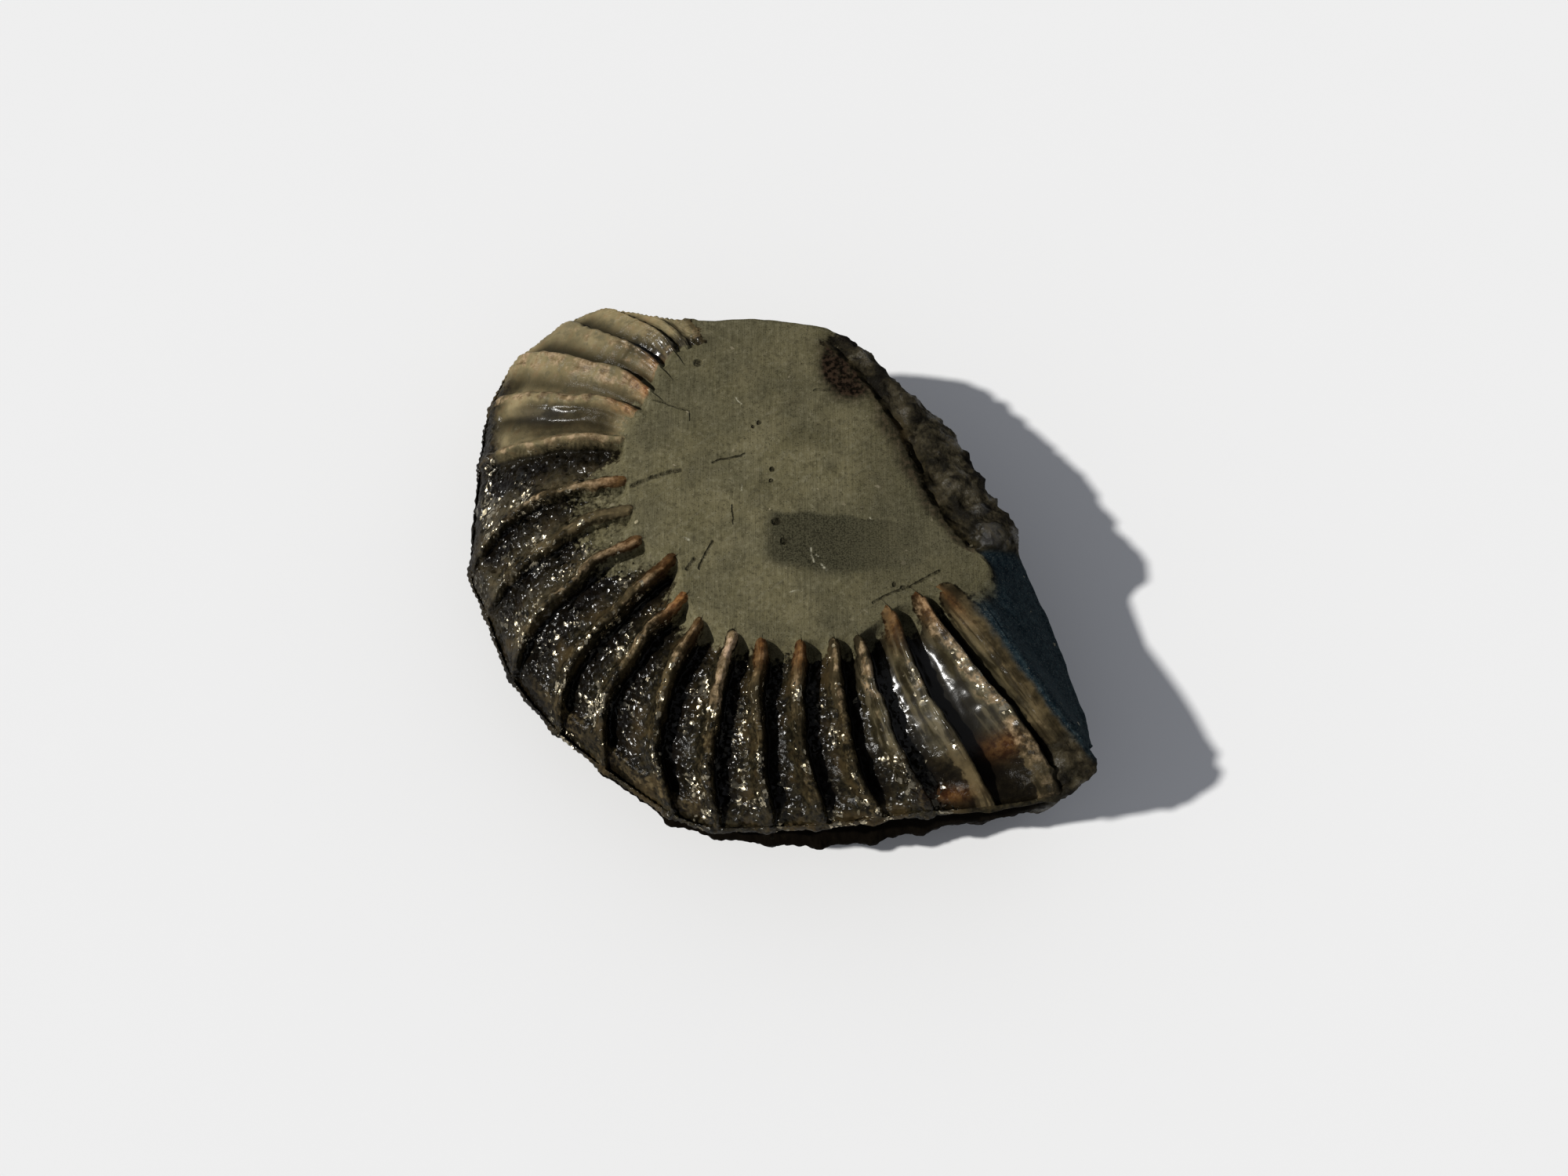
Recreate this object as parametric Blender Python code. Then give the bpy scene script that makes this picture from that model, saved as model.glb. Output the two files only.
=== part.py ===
"""Pyritized ammonite: the ribbed outer whorl of a fossil shell, still in its piece of
mudstone. The stone lies on its ground-flat underside. One natural stone, one solid.

The surface is a closed net of columns and rings. A column starts in the middle of the
flat mudstone face, runs out along the ribs to the rim, goes down over the edge and
comes back under the stone to the middle of the underside. Stations, listed around the
stone, say where the column of each rib and of each broken edge begins and ends.
"""
from collections import namedtuple
import math

import bpy
from mathutils import Vector, noise

MM = 0.001

# The ground face: its level above the surface that the stone lies on, how much it falls
# for each mm away from its middle, and how much more towards its back edge, in mm
FACE_Z = 22.3
FACE_DOME = 0.012
BACK_DROP = 0.42
BACK_DROP_FROM_Y = 18.0
BACK_DROP_TO_Y = 31.0
FACE_CENTRE = (1.5, 7.5)
BASE_CENTRE = (0.0, 1.0)

# Moves the plan so that the stone's box stands in the middle of the frame, in mm
PLAN_SHIFT = (-0.66, 0.05)

# Ribs, in mm; FULL_RIB is the relief of the strongest ones
RIB_HALF_WIDTH = 1.15
RIB_ROOT_RISE = 0.35
FULL_RIB = 2.0
LOWER_RIB_RELIEF = 1.0
RIM_CORD_OUT = 0.8
RIM_CORD_HEIGHT = 1.9
SCALLOP = 0.35

# Where along the flank, from 0 at the face to 1 at the rim, the grooves reach their full
# depth, where they begin to fade, how much of them is gone at the rim, and where the
# raised roots of the ribs begin, start to sink and end
GROOVE_FULL = 0.14
GROOVE_FADE = 0.84
GROOVE_LOST = 0.75
ROOT_FULL = 0.06
ROOT_SINKS = 0.25
ROOT_END = 0.5

# How round the flank's fall from the face to the rim is: 0.5 is a quarter ellipse
FLANK_ROUNDNESS = 0.6

# The side below the rim: heights as parts of the rim cord or of the ledge's height, and
# how far the lower flank has drawn in, 0 at the ledge and 1 at the underside
CORD_LEVEL = 0.45
CORD_FOOT_OUT = 0.1
LOWER_FLANK_LEVEL = 0.42
LOWER_FLANK_IN = 0.3
LOWER_EDGE_LEVEL = 0.16
LOWER_EDGE_IN = 0.65

# Where the columns stand between two ribs, and between two stations of a broken edge
RIB_STEPS = (0.0, 0.1, 0.22, 0.4, 0.6, 0.78, 0.9)
EDGE_STEPS = (0.0, 0.33, 0.67)

# Rings from the middle of the face to its rim, then along the flank to the rim
FACE_RINGS = (0.35, 0.65, 0.88)
FLANK_RINGS = (0.0, 0.05, 0.11, 0.18, 0.27, 0.37, 0.48, 0.59, 0.7, 0.8, 0.88, 0.95, 1.0)
SIDE_RINGS = ("cord", "cord foot", "groove", "ledge", "lower flank", "lower edge", "foot")
LOWER_RINGS = ("lower flank", "lower edge", "foot")
BASE_RINGS = (0.5,)

# One station: where the column leaves the flat face (root) and meets the rim (tip), the
# height of the rim, how far the path bows back towards the station before it at a
# quarter, half and three quarters of its length, how much the flank swells above a plain
# slope, the relief of the rib there, how straight the slope is (0 rounds over, 1 is a
# plane), how deep the groove under the rim is, how far the ledge below it stands out and
# its height, and how far in the underside begins.
Station = namedtuple("Station", "name root tip rim_z bows swell rib plane groove ledge ledge_z foot")

WHORL = [
    Station("rib a", (-8.5, 27.0), (-10.5, 31.3), 21.5, (0.4, 0.4, 0.2), 0.0, 0.8, 0.0, 0.4, -0.6, 8.0, 6.0),
    Station("gap ab", (-10.0, 26.3), (-15.0, 32.8), 20.0, (0.4, 0.4, 0.2), 0.0, 0.0, 0.0, 0.4, -0.8, 8.0, 7.0),
    Station("rib b", (-11.5, 25.7), (-22.6, 36.6), 15.5, (0.9, 0.7, 0.2), 0.0, 1.6, 0.0, 0.4, -1.0, 7.5, 8.0),
    Station("rib c", (-13.1, 23.2), (-28.1, 35.4), 13.5, (0.4, 0.1, -0.3), 0.0, 1.3, 0.0, 0.3, -1.2, 6.5, 8.0),
    Station("rib d", (-14.1, 19.4), (-34.6, 30.1), 12.5, (1.3, 0.9, 0.8), 0.0, 1.3, 0.0, 0.3, -1.2, 6.5, 8.0),
    Station("rib e", (-15.5, 16.5), (-37.8, 23.2), 11.5, (1.0, 0.6, 0.7), 0.0, 1.7, 0.0, 0.3, -1.2, 6.5, 8.0),
    Station("rib f", (-17.5, 13.0), (-38.6, 14.4), 11.5, (0.4, 0.1, 0.0), 0.0, 1.8, 0.0, 0.3, -1.2, 6.5, 8.0),
    Station("rib g", (-17.0, 7.0), (-38.5, -1.0), 11.5, (1.9, 3.0, 2.2), 0.0, 1.8, 0.0, 0.3, -1.2, 6.5, 8.0),
    Station("rib h", (-16.1, 2.9), (-36.2, -6.8), 11.5, (1.6, 1.5, 1.0), 0.0, 1.5, 0.0, 0.3, -1.2, 6.5, 8.0),
    Station("rib i", (-14.8, -1.1), (-32.0, -15.9), 11.5, (1.9, 2.0, 2.3), 0.0, 1.9, 0.0, 0.3, -1.0, 6.5, 8.0),
    Station("rib j", (-10.6, -3.5), (-25.8, -23.0), 12.0, (1.3, 2.2, 2.6), 0.0, 2.1, 0.0, 0.4, -0.4, 7.5, 8.0),
    Station("rib k", (-9.0, -8.5), (-19.8, -27.8), 12.5, (1.9, 2.7, 2.8), 0.0, 2.2, 0.0, 0.8, 0.6, 8.8, 8.0),
    Station("rib l", (-7.2, -11.7), (-11.0, -33.9), 13.5, (2.3, 3.3, 2.9), 0.0, 2.2, 0.0, 1.2, 0.8, 9.3, 8.5),
    Station("rib m", (-3.2, -13.4), (-5.6, -36.0), 15.0, (1.2, 1.4, 1.5), 0.0, 2.3, 0.0, 1.8, 0.5, 9.5, 9.0),
    Station("rib n", (0.2, -14.4), (1.0, -36.2), 16.0, (0.7, 0.9, 0.7), 0.0, 2.2, 0.0, 2.2, 1.2, 9.5, 9.0),
    Station("rib o", (5.0, -14.5), (7.3, -36.0), 16.5, (1.1, 1.5, 1.1), 0.2, 2.1, 0.0, 2.6, 1.6, 9.0, 9.0),
    Station("rib p", (9.0, -14.3), (13.8, -35.4), 17.0, (1.0, 1.4, 1.4), 0.4, 2.1, 0.0, 2.8, 1.6, 8.5, 9.0),
    Station("rib q", (11.9, -13.9), (20.0, -34.8), 18.0, (0.8, 1.2, 1.1), 0.8, 2.1, 0.0, 2.8, 0.9, 9.0, 9.0),
    Station("rib r", (16.0, -10.6), (27.5, -34.3), 18.6, (1.2, 1.3, 0.6), 1.0, 2.2, 0.0, 2.0, 0.5, 11.0, 8.5),
    Station("rib s", (19.7, -8.8), (35.2, -32.9), 18.8, (0.4, 0.0, -0.7), 1.4, 2.2, 0.0, 0.9, 0.5, 14.0, 8.0),
    Station("rib t", (22.6, -8.4), (38.9, -30.2), 20.0, (0.3, 0.6, 0.7), 1.8, 1.9, 0.0, 0.7, 0.3, 15.5, 7.0),
]
BROKEN_EDGE = [
    Station("crest", (26.0, -7.2), (39.2, -28.0), 20.6, (0.8, 1.1, 0.8), 2.2, 0.0, 0.2, 0.4, 0.0, 13.0, 5.0),
    Station("bevel 1", (27.2, -6.6), (39.6, -25.0), 17.6, (0.0, 0.0, 0.0), 0.5, 0.0, 1.0, 0.3, -0.3, 9.0, 4.5),
    Station("bevel 2", (27.9, -6.0), (39.0, -20.3), 16.0, (0.0, 0.0, 0.0), 0.3, 0.0, 1.0, 0.3, -0.4, 8.0, 4.5),
    Station("bevel 3", (28.3, -5.3), (37.4, -14.3), 15.5, (0.0, 0.0, 0.0), 0.2, 0.0, 1.0, 0.3, -0.5, 7.0, 4.5),
    Station("bevel 4", (28.2, -4.6), (35.6, -8.6), 15.3, (0.0, 0.0, 0.0), 0.2, 0.0, 1.0, 0.3, -0.5, 7.0, 4.5),
    Station("bevel 5", (27.5, -3.8), (33.6, -3.8), 16.5, (0.0, 0.0, 0.0), 0.2, 0.0, 0.8, 0.3, -0.5, 7.0, 4.5),
    Station("break 1", (26.2, -2.8), (31.9, -1.4), 20.3, (0.0, 0.0, 0.0), 0.3, 0.0, 0.0, 0.4, -0.8, 8.0, 4.5),
    Station("break 2", (24.2, -0.8), (31.6, 1.2), 20.8, (0.0, 0.0, 0.0), 0.2, 0.0, 0.0, 0.4, -0.8, 8.0, 4.5),
    Station("break 3", (21.8, 2.9), (29.4, 4.4), 21.0, (0.0, 0.0, 0.0), 0.0, 0.0, 0.0, 0.5, -1.0, 8.0, 4.5),
    Station("break 4", (19.8, 7.0), (27.1, 8.8), 21.0, (0.0, 0.0, 0.0), 0.0, 0.0, 0.0, 0.5, -1.0, 8.0, 4.5),
    Station("break 5", (18.2, 11.3), (24.6, 13.6), 21.0, (0.0, 0.0, 0.0), 0.0, 0.0, 0.0, 0.4, -1.0, 8.0, 4.5),
    Station("break 6", (16.3, 15.6), (21.8, 17.3), 21.0, (0.0, 0.0, 0.0), 0.0, 0.0, 0.0, 0.4, -1.0, 8.0, 4.5),
    Station("break 7", (14.2, 19.6), (17.8, 20.9), 21.2, (0.0, 0.0, 0.0), 0.0, 0.0, 0.0, 0.3, -1.0, 8.0, 4.5),
    Station("break 8", (11.3, 23.6), (14.7, 25.3), 21.2, (0.0, 0.0, 0.0), 0.0, 0.0, 0.0, 0.3, -1.0, 8.0, 4.5),
    Station("break 9", (8.6, 26.6), (11.1, 28.2), 21.3, (0.0, 0.0, 0.0), 0.0, 0.0, 0.0, 0.3, -0.8, 8.0, 5.0),
    Station("back 1", (5.5, 27.6), (7.1, 30.1), 21.5, (0.0, 0.0, 0.0), 0.0, 0.0, 0.0, 0.2, -0.6, 8.0, 5.0),
    Station("back 2", (-0.5, 27.4), (-0.5, 31.0), 21.6, (0.0, 0.0, 0.0), 0.0, 0.0, 0.0, 0.2, -0.5, 8.0, 5.5),
]
STATIONS = WHORL + BROKEN_EDGE

# Lumps and hollows on the broken right side: place, radius and height, in mm
LUMPS = [
    ((28.4, -0.9), 2.4, 1.5),
    ((27.6, 3.0), 1.6, 0.9),
    ((25.0, 6.6), 2.0, 0.7),
    ((22.4, 13.2), 1.8, 0.8),
    ((18.9, 17.2), 1.8, 0.8),
    ((15.4, 21.4), 1.5, 0.7),
    ((12.4, 25.3), 1.5, 0.6),
    ((22.6, 8.6), 1.3, -0.9),
    ((20.2, 14.6), 1.2, -0.9),
    ((25.4, 3.4), 1.2, -0.6),
]
LUMP_STEEPNESS = 1.6
WALL_ROUGHNESS = 1.2
WALL_LUMP_SIZE = 4.0

# Part of a station's interval over which the rim's direction is measured
RIM_STEP = 0.4
SHARP_ANGLE = 50.0


def blend(a, b, t):
    return a + (b - a) * t


def smooth_step(low, high, value):
    t = min(1.0, max(0.0, (value - low) / (high - low)))
    return t * t * (3.0 - 2.0 * t)


def catmull_rom(p0, p1, p2, p3, t):
    """One coordinate of a smooth curve through four neighbours, between p1 and p2."""
    return 0.5 * (2.0 * p1 + (p2 - p0) * t
                  + (2.0 * p0 - 5.0 * p1 + 4.0 * p2 - p3) * t * t
                  + (3.0 * p1 - p0 - 3.0 * p2 + p3) * t ** 3)


def neighbours(place):
    """The four stations around a place on the closed ring, and the part between them."""
    first = math.floor(place)
    count = len(STATIONS)
    return [STATIONS[(first + k) % count] for k in (-1, 0, 1, 2)], place - first


def station_point(place, end):
    """The root or tip at any place around the stone, in mm."""
    around, part = neighbours(place)
    ends = [getattr(station, end) for station in around]
    return Vector([catmull_rom(*[point[axis] for point in ends], part) for axis in (0, 1)])


def station_value(place, field):
    around, part = neighbours(place)
    return blend(getattr(around[1], field), getattr(around[2], field), part)


def outward(place):
    """The direction square to the rim, away from the stone."""
    along = station_point(place + RIM_STEP, "tip") - station_point(place - RIM_STEP, "tip")
    along.normalize()
    return Vector((along.y, -along.x))


def bow_at(place, s):
    """How far the column's path bows back at s, on a smooth curve through its bows."""
    around, part = neighbours(place)
    pairs = zip(around[1].bows, around[2].bows)
    quarter, half, most = [blend(before, after, part) for before, after in pairs]
    knots = [-quarter, 0.0, quarter, half, most, 0.0, -most]
    first = min(int(s * 4.0), 3)
    return catmull_rom(*knots[first:first + 4], s * 4.0 - first)


def flank_path(place, s):
    """A point of the column in plan, s = 0 at the flat face and 1 at the rim."""
    root = station_point(place, "root")
    tip = station_point(place, "tip")
    chord = tip - root
    back = Vector((chord.y, -chord.x)).normalized()
    return root + chord * s + back * bow_at(place, s)


def rib_shape(place, s):
    """Height of the ribs above the groove floor, in mm, without any fading at the ends."""
    total = 0.0
    for index in (math.floor(place), math.floor(place) + 1):
        station = STATIONS[index % len(STATIONS)]
        if station.rib == 0.0:
            continue
        across = (flank_path(place, s) - flank_path(index, s)).length
        total += station.rib * math.exp(-(across / RIB_HALF_WIDTH) ** 2)
    return total


def groove_depth(s):
    """How much of their full depth the grooves have along the flank, 0 to 1."""
    return smooth_step(0.0, GROOVE_FULL, s) * (1.0 - GROOVE_LOST * smooth_step(GROOVE_FADE, 1.0, s))


def lumps_at(point):
    total = 0.0
    for place, radius, height in LUMPS:
        away = math.hypot(point.x - place[0], point.y - place[1]) / radius
        total += height * math.exp(-LUMP_STEEPNESS * away * away)
    return total


def face_height(point):
    """The ground face: nearly flat, a little lower towards its back edge."""
    back = BACK_DROP * smooth_step(BACK_DROP_FROM_Y, BACK_DROP_TO_Y, point.y)
    dome = FACE_DOME * (point - Vector(FACE_CENTRE)).length
    return FACE_Z - dome - back


def flank_height(place, s):
    root_z = face_height(station_point(place, "root"))
    rim_z = station_value(place, "rim_z")
    straight = station_value(place, "plane")
    rounded = (1.0 - s * s) ** FLANK_ROUNDNESS
    slope = blend(rounded, 1.0 - s, straight)
    crest = rim_z + (root_z - rim_z) * slope
    crest += station_value(place, "swell") * 4.0 * s * (1.0 - s)
    rib = rib_shape(place, s)
    cut = groove_depth(s) * (rib - station_value(place, "rib"))
    root_rise = smooth_step(0.0, ROOT_FULL, s) * (1.0 - smooth_step(ROOT_SINKS, ROOT_END, s))
    return crest + cut + RIB_ROOT_RISE * root_rise * rib / FULL_RIB


def side_ring(place, ring):
    """How far out from the rim, and how high, a ring below the rim stands."""
    rim_z = station_value(place, "rim_z")
    groove = station_value(place, "groove")
    ledge = station_value(place, "ledge")
    ledge_z = station_value(place, "ledge_z")
    foot = station_value(place, "foot")
    groove_z = blend(rim_z - RIM_CORD_HEIGHT, ledge_z, 0.5)
    lower_rib = LOWER_RIB_RELIEF * min(1.0, rib_shape(place, 1.0) / FULL_RIB)
    profile = {
        "cord": (RIM_CORD_OUT, rim_z - CORD_LEVEL * RIM_CORD_HEIGHT),
        "cord foot": (CORD_FOOT_OUT, rim_z - RIM_CORD_HEIGHT),
        "groove": (-groove, groove_z),
        "ledge": (ledge, ledge_z),
        "lower flank": (blend(ledge, -foot, LOWER_FLANK_IN) + lower_rib, LOWER_FLANK_LEVEL * ledge_z),
        "lower edge": (blend(ledge, -foot, LOWER_EDGE_IN) + lower_rib, LOWER_EDGE_LEVEL * ledge_z),
        "foot": (-foot, 0.0),
    }
    return profile[ring]


def wall_weight(place):
    """1 on the broken sides, 0 on the whorl."""
    ribs = len(WHORL)
    count = len(STATIONS)
    return smooth_step(ribs - 1.0, ribs + 1.0, place) * (1.0 - smooth_step(count - 1.0, count, place))


def side_point(place, ring):
    """A point below the rim. Near the rim it stands square to it, lower it draws inwards."""
    out, height = side_ring(place, ring)
    tip = station_point(place, "tip")
    away = outward(place)
    if ring in LOWER_RINGS:
        away = (tip - Vector(BASE_CENTRE)).normalized()
    scallop = SCALLOP * (1.0 - min(1.0, rib_shape(place, 1.0))) * (1.0 - wall_weight(place))
    point = tip + away * (out - scallop)
    if ring != "foot":
        spot = Vector((point.x, point.y, height)) / WALL_LUMP_SIZE
        point += away * (WALL_ROUGHNESS * wall_weight(place) * noise.noise(spot))
    return Vector((point.x, point.y, height))


def stone_point(place, ring):
    """A point of the stone's surface, in mm: place around it, ring down it."""
    kind, value = ring
    if kind == "face":
        root = station_point(place, "root")
        point = Vector(FACE_CENTRE).lerp(root, value)
        return Vector((point.x, point.y, face_height(point)))
    if kind == "flank":
        point = flank_path(place, value)
        height = flank_height(place, value) + lumps_at(point)
        return Vector((point.x, point.y, height))
    if kind == "side":
        return side_point(place, value)
    point = Vector(BASE_CENTRE).lerp(side_point(place, "foot").xy, value)
    return Vector((point.x, point.y, 0.0))


def column_places():
    places = []
    for index, station in enumerate(STATIONS):
        following = STATIONS[(index + 1) % len(STATIONS)]
        ribbed = station.rib > 0.0 or following.rib > 0.0
        steps = RIB_STEPS if ribbed else EDGE_STEPS
        places += [index + step for step in steps]
    return places


def ring_list():
    rings = [("face", value) for value in FACE_RINGS]
    rings += [("flank", value) for value in FLANK_RINGS]
    rings += [("side", value) for value in SIDE_RINGS]
    rings += [("base", value) for value in reversed(BASE_RINGS)]
    return rings


def build_stone():
    """A ball of columns and rings, whose points are then moved onto the stone."""
    places = column_places()
    rings = ring_list()
    bpy.ops.mesh.primitive_uv_sphere_add(segments=len(places), ring_count=len(rings) + 1)
    stone = bpy.context.object
    stone.name = "ammonite"
    stone.data.name = "ammonite"
    targets = []
    for vertex in stone.data.vertices:
        away = vertex.co.normalized()
        down = math.acos(max(-1.0, min(1.0, away.z))) / math.pi * (len(rings) + 1)
        ring = round(down)
        if ring == 0:
            middle = Vector(FACE_CENTRE)
            targets.append(Vector((middle.x, middle.y, face_height(middle))))
        elif ring == len(rings) + 1:
            targets.append(Vector((BASE_CENTRE[0], BASE_CENTRE[1], 0.0)))
        else:
            turn = math.atan2(away.y, away.x) / (2.0 * math.pi) * len(places)
            column = round(turn) % len(places)
            targets.append(stone_point(places[column], rings[ring - 1]))
    shift = Vector((PLAN_SHIFT[0], PLAN_SHIFT[1], 0.0))
    for vertex, target in zip(stone.data.vertices, targets):
        vertex.co = (target + shift) * MM
    stone.data.shade_smooth()
    stone.data.set_sharp_from_angle(angle=math.radians(SHARP_ANGLE))
    return stone


def pyrite_and_mudstone():
    material = bpy.data.materials.new("pyrite and mudstone")
    material.use_nodes = True
    shader = material.node_tree.nodes["Principled BSDF"]
    shader.inputs["Base Color"].default_value = (0.085, 0.075, 0.045, 1.0)
    shader.inputs["Roughness"].default_value = 0.5
    shader.inputs["Metallic"].default_value = 0.25
    return material


def clear_scene():
    for item in list(bpy.data.objects):
        bpy.data.objects.remove(item, do_unlink=True)


def main():
    clear_scene()
    collection = bpy.data.collections.new("pyritized ammonite")
    bpy.context.scene.collection.children.link(collection)
    stone = build_stone()
    for holder in list(stone.users_collection):
        holder.objects.unlink(stone)
    collection.objects.link(stone)
    stone.data.materials.append(pyrite_and_mudstone())


main()
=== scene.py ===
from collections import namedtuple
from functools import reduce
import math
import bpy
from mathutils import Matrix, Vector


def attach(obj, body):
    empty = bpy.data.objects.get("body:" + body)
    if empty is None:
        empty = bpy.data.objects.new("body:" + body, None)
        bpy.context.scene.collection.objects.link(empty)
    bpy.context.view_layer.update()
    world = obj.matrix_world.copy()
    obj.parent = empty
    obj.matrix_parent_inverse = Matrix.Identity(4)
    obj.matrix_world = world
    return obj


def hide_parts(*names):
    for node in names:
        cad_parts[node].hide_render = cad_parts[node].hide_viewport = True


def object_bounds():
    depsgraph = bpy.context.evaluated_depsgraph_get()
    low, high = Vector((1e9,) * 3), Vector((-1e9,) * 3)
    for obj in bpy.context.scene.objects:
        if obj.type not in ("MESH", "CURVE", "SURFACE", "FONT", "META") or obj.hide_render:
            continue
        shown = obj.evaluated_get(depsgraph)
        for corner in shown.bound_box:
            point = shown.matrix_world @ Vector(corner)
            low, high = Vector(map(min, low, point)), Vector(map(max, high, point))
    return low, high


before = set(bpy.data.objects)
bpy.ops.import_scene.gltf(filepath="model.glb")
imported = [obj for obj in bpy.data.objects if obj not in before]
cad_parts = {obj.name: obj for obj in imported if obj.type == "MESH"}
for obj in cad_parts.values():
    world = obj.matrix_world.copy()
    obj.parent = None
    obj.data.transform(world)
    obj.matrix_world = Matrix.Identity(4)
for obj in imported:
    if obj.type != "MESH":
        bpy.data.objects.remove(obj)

# Looks of the pyritized ammonite. The stone's surface is computed as one fine closed net
# of rings and columns, from the same stations as the solid, and then cut into pieces that
# share their border points. All lengths are in mm until a mesh is made.
from types import SimpleNamespace

import bpy
from mathutils import Vector
import numpy as np

CAD_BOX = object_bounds()
MM = 0.001

# Places and sizes shared with the solid, in mm: the ground face's level, how much it falls
# for each mm away from its middle and how much more towards its back edge, the middles of
# face and base, the ribs' raised roots, the hollow in the face and the side below the rim
FACE_Z = 22.3
FACE_DOME = 0.012
BACK_DROP = 0.42
BACK_DROP_FROM_Y = 18.0
BACK_DROP_TO_Y = 31.0
FACE_CENTRE = np.array([1.5, 7.5])
BASE_CENTRE = np.array([0.0, 1.0])
PLAN_SHIFT = np.array([-0.66, 0.05, 0.0])
RIB_ROOT_RISE = 0.35
HOLLOW_DEPTH = 0.18
LOWER_RIB_RELIEF = 1.0
RIM_CORD_OUT = 0.8
RIM_CORD_HEIGHT = 1.9
SCALLOP = 0.35

# How round the flank's fall from the face to the rim is: 0.5 is a quarter ellipse
FLANK_ROUNDNESS = 0.6

# The side below the rim: heights as parts of the rim cord or of the ledge's height, how far
# the lower flank has drawn in there, 0 at the ledge and 1 at the underside, and how much of
# a curve it is between these places, where 0 is straight
CORD_LEVEL = 0.45
CORD_FOOT_OUT = 0.1
LOWER_FLANK_LEVEL = 0.42
LOWER_FLANK_IN = 0.3
LOWER_EDGE_LEVEL = 0.16
LOWER_EDGE_IN = 0.65
SIDE_CURVE = 0.6

# One station: where the column leaves the flat face (root) and meets the rim (tip), the
# height of the rim, how far the path bows back towards the station before it at a
# quarter, half and three quarters of its length, how much the flank swells above a plain
# slope, the relief of the rib there, how straight the slope is (0 rounds over, 1 is a
# plane), how deep the groove under the rim is, how far the ledge below it stands out and
# its height, and how far in the underside begins.
Station = namedtuple("Station", "name root tip rim_z bows swell rib plane groove ledge ledge_z foot")

WHORL = [
    ("rib a", (-8.5, 27.0), (-10.5, 31.3), 21.5, (0.4, 0.4, 0.2), 0.0, 0.8, 0.0, 0.4, -0.6, 8.0, 6.0),
    ("gap ab", (-10.0, 26.3), (-15.0, 32.8), 20.0, (0.4, 0.4, 0.2), 0.0, 0.0, 0.0, 0.4, -0.8, 8.0, 7.0),
    ("rib b", (-11.5, 25.7), (-22.6, 36.6), 15.5, (0.9, 0.7, 0.2), 0.0, 1.6, 0.0, 0.4, -1.0, 7.5, 8.0),
    ("rib c", (-13.1, 23.2), (-28.1, 35.4), 13.5, (0.4, 0.1, -0.3), 0.0, 1.3, 0.0, 0.3, -1.2, 6.5, 8.0),
    ("rib d", (-14.1, 19.4), (-34.6, 30.1), 12.5, (1.3, 0.9, 0.8), 0.0, 1.3, 0.0, 0.3, -1.2, 6.5, 8.0),
    ("rib e", (-15.5, 16.5), (-37.8, 23.2), 11.5, (1.0, 0.6, 0.7), 0.0, 1.7, 0.0, 0.3, -1.2, 6.5, 8.0),
    ("rib f", (-17.5, 13.0), (-38.6, 14.4), 11.5, (0.4, 0.1, 0.0), 0.0, 1.8, 0.0, 0.3, -1.2, 6.5, 8.0),
    ("rib g", (-17.0, 7.0), (-38.5, -1.0), 11.5, (1.9, 3.0, 2.2), 0.0, 1.8, 0.0, 0.3, -1.2, 6.5, 8.0),
    ("rib h", (-16.1, 2.9), (-36.2, -6.8), 11.5, (1.6, 1.5, 1.0), 0.0, 1.5, 0.0, 0.3, -1.2, 6.5, 8.0),
    ("rib i", (-14.8, -1.1), (-32.0, -15.9), 11.5, (1.9, 2.0, 2.3), 0.0, 1.9, 0.0, 0.3, -1.0, 6.5, 8.0),
    ("rib j", (-10.6, -3.5), (-25.8, -23.0), 12.0, (1.3, 2.2, 2.6), 0.0, 2.1, 0.0, 0.4, -0.4, 7.5, 8.0),
    ("rib k", (-9.0, -8.5), (-19.8, -27.8), 12.5, (1.9, 2.7, 2.8), 0.0, 2.2, 0.0, 0.8, 0.6, 8.8, 8.0),
    ("rib l", (-7.2, -11.7), (-11.0, -33.9), 13.5, (2.3, 3.3, 2.9), 0.0, 2.2, 0.0, 1.2, 0.8, 9.3, 8.5),
    ("rib m", (-3.2, -13.4), (-5.6, -36.0), 15.0, (1.2, 1.4, 1.5), 0.0, 2.3, 0.0, 1.8, 0.5, 9.5, 9.0),
    ("rib n", (0.2, -14.4), (1.0, -36.2), 16.0, (0.7, 0.9, 0.7), 0.0, 2.2, 0.0, 2.2, 1.2, 9.5, 9.0),
    ("rib o", (5.0, -14.5), (7.3, -36.0), 16.5, (1.1, 1.5, 1.1), 0.2, 2.1, 0.0, 2.6, 1.6, 9.0, 9.0),
    ("rib p", (9.0, -14.3), (13.8, -35.4), 17.0, (1.0, 1.4, 1.4), 0.4, 2.1, 0.0, 2.8, 1.6, 8.5, 9.0),
    ("rib q", (11.9, -13.9), (20.0, -34.8), 18.0, (0.8, 1.2, 1.1), 0.8, 2.1, 0.0, 2.8, 0.9, 9.0, 9.0),
    ("rib r", (16.0, -10.6), (27.5, -34.3), 18.6, (1.2, 1.3, 0.6), 1.0, 2.2, 0.0, 2.0, 0.5, 11.0, 8.5),
    ("rib s", (19.7, -8.8), (35.2, -32.9), 18.8, (0.4, 0.0, -0.7), 1.4, 2.2, 0.0, 0.9, 0.5, 14.0, 8.0),
    ("rib t", (22.6, -8.4), (38.9, -30.2), 20.0, (0.3, 0.6, 0.7), 1.8, 1.9, 0.0, 0.7, 0.3, 15.5, 7.0),
]
STRAIGHT = (0.0, 0.0, 0.0)
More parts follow.
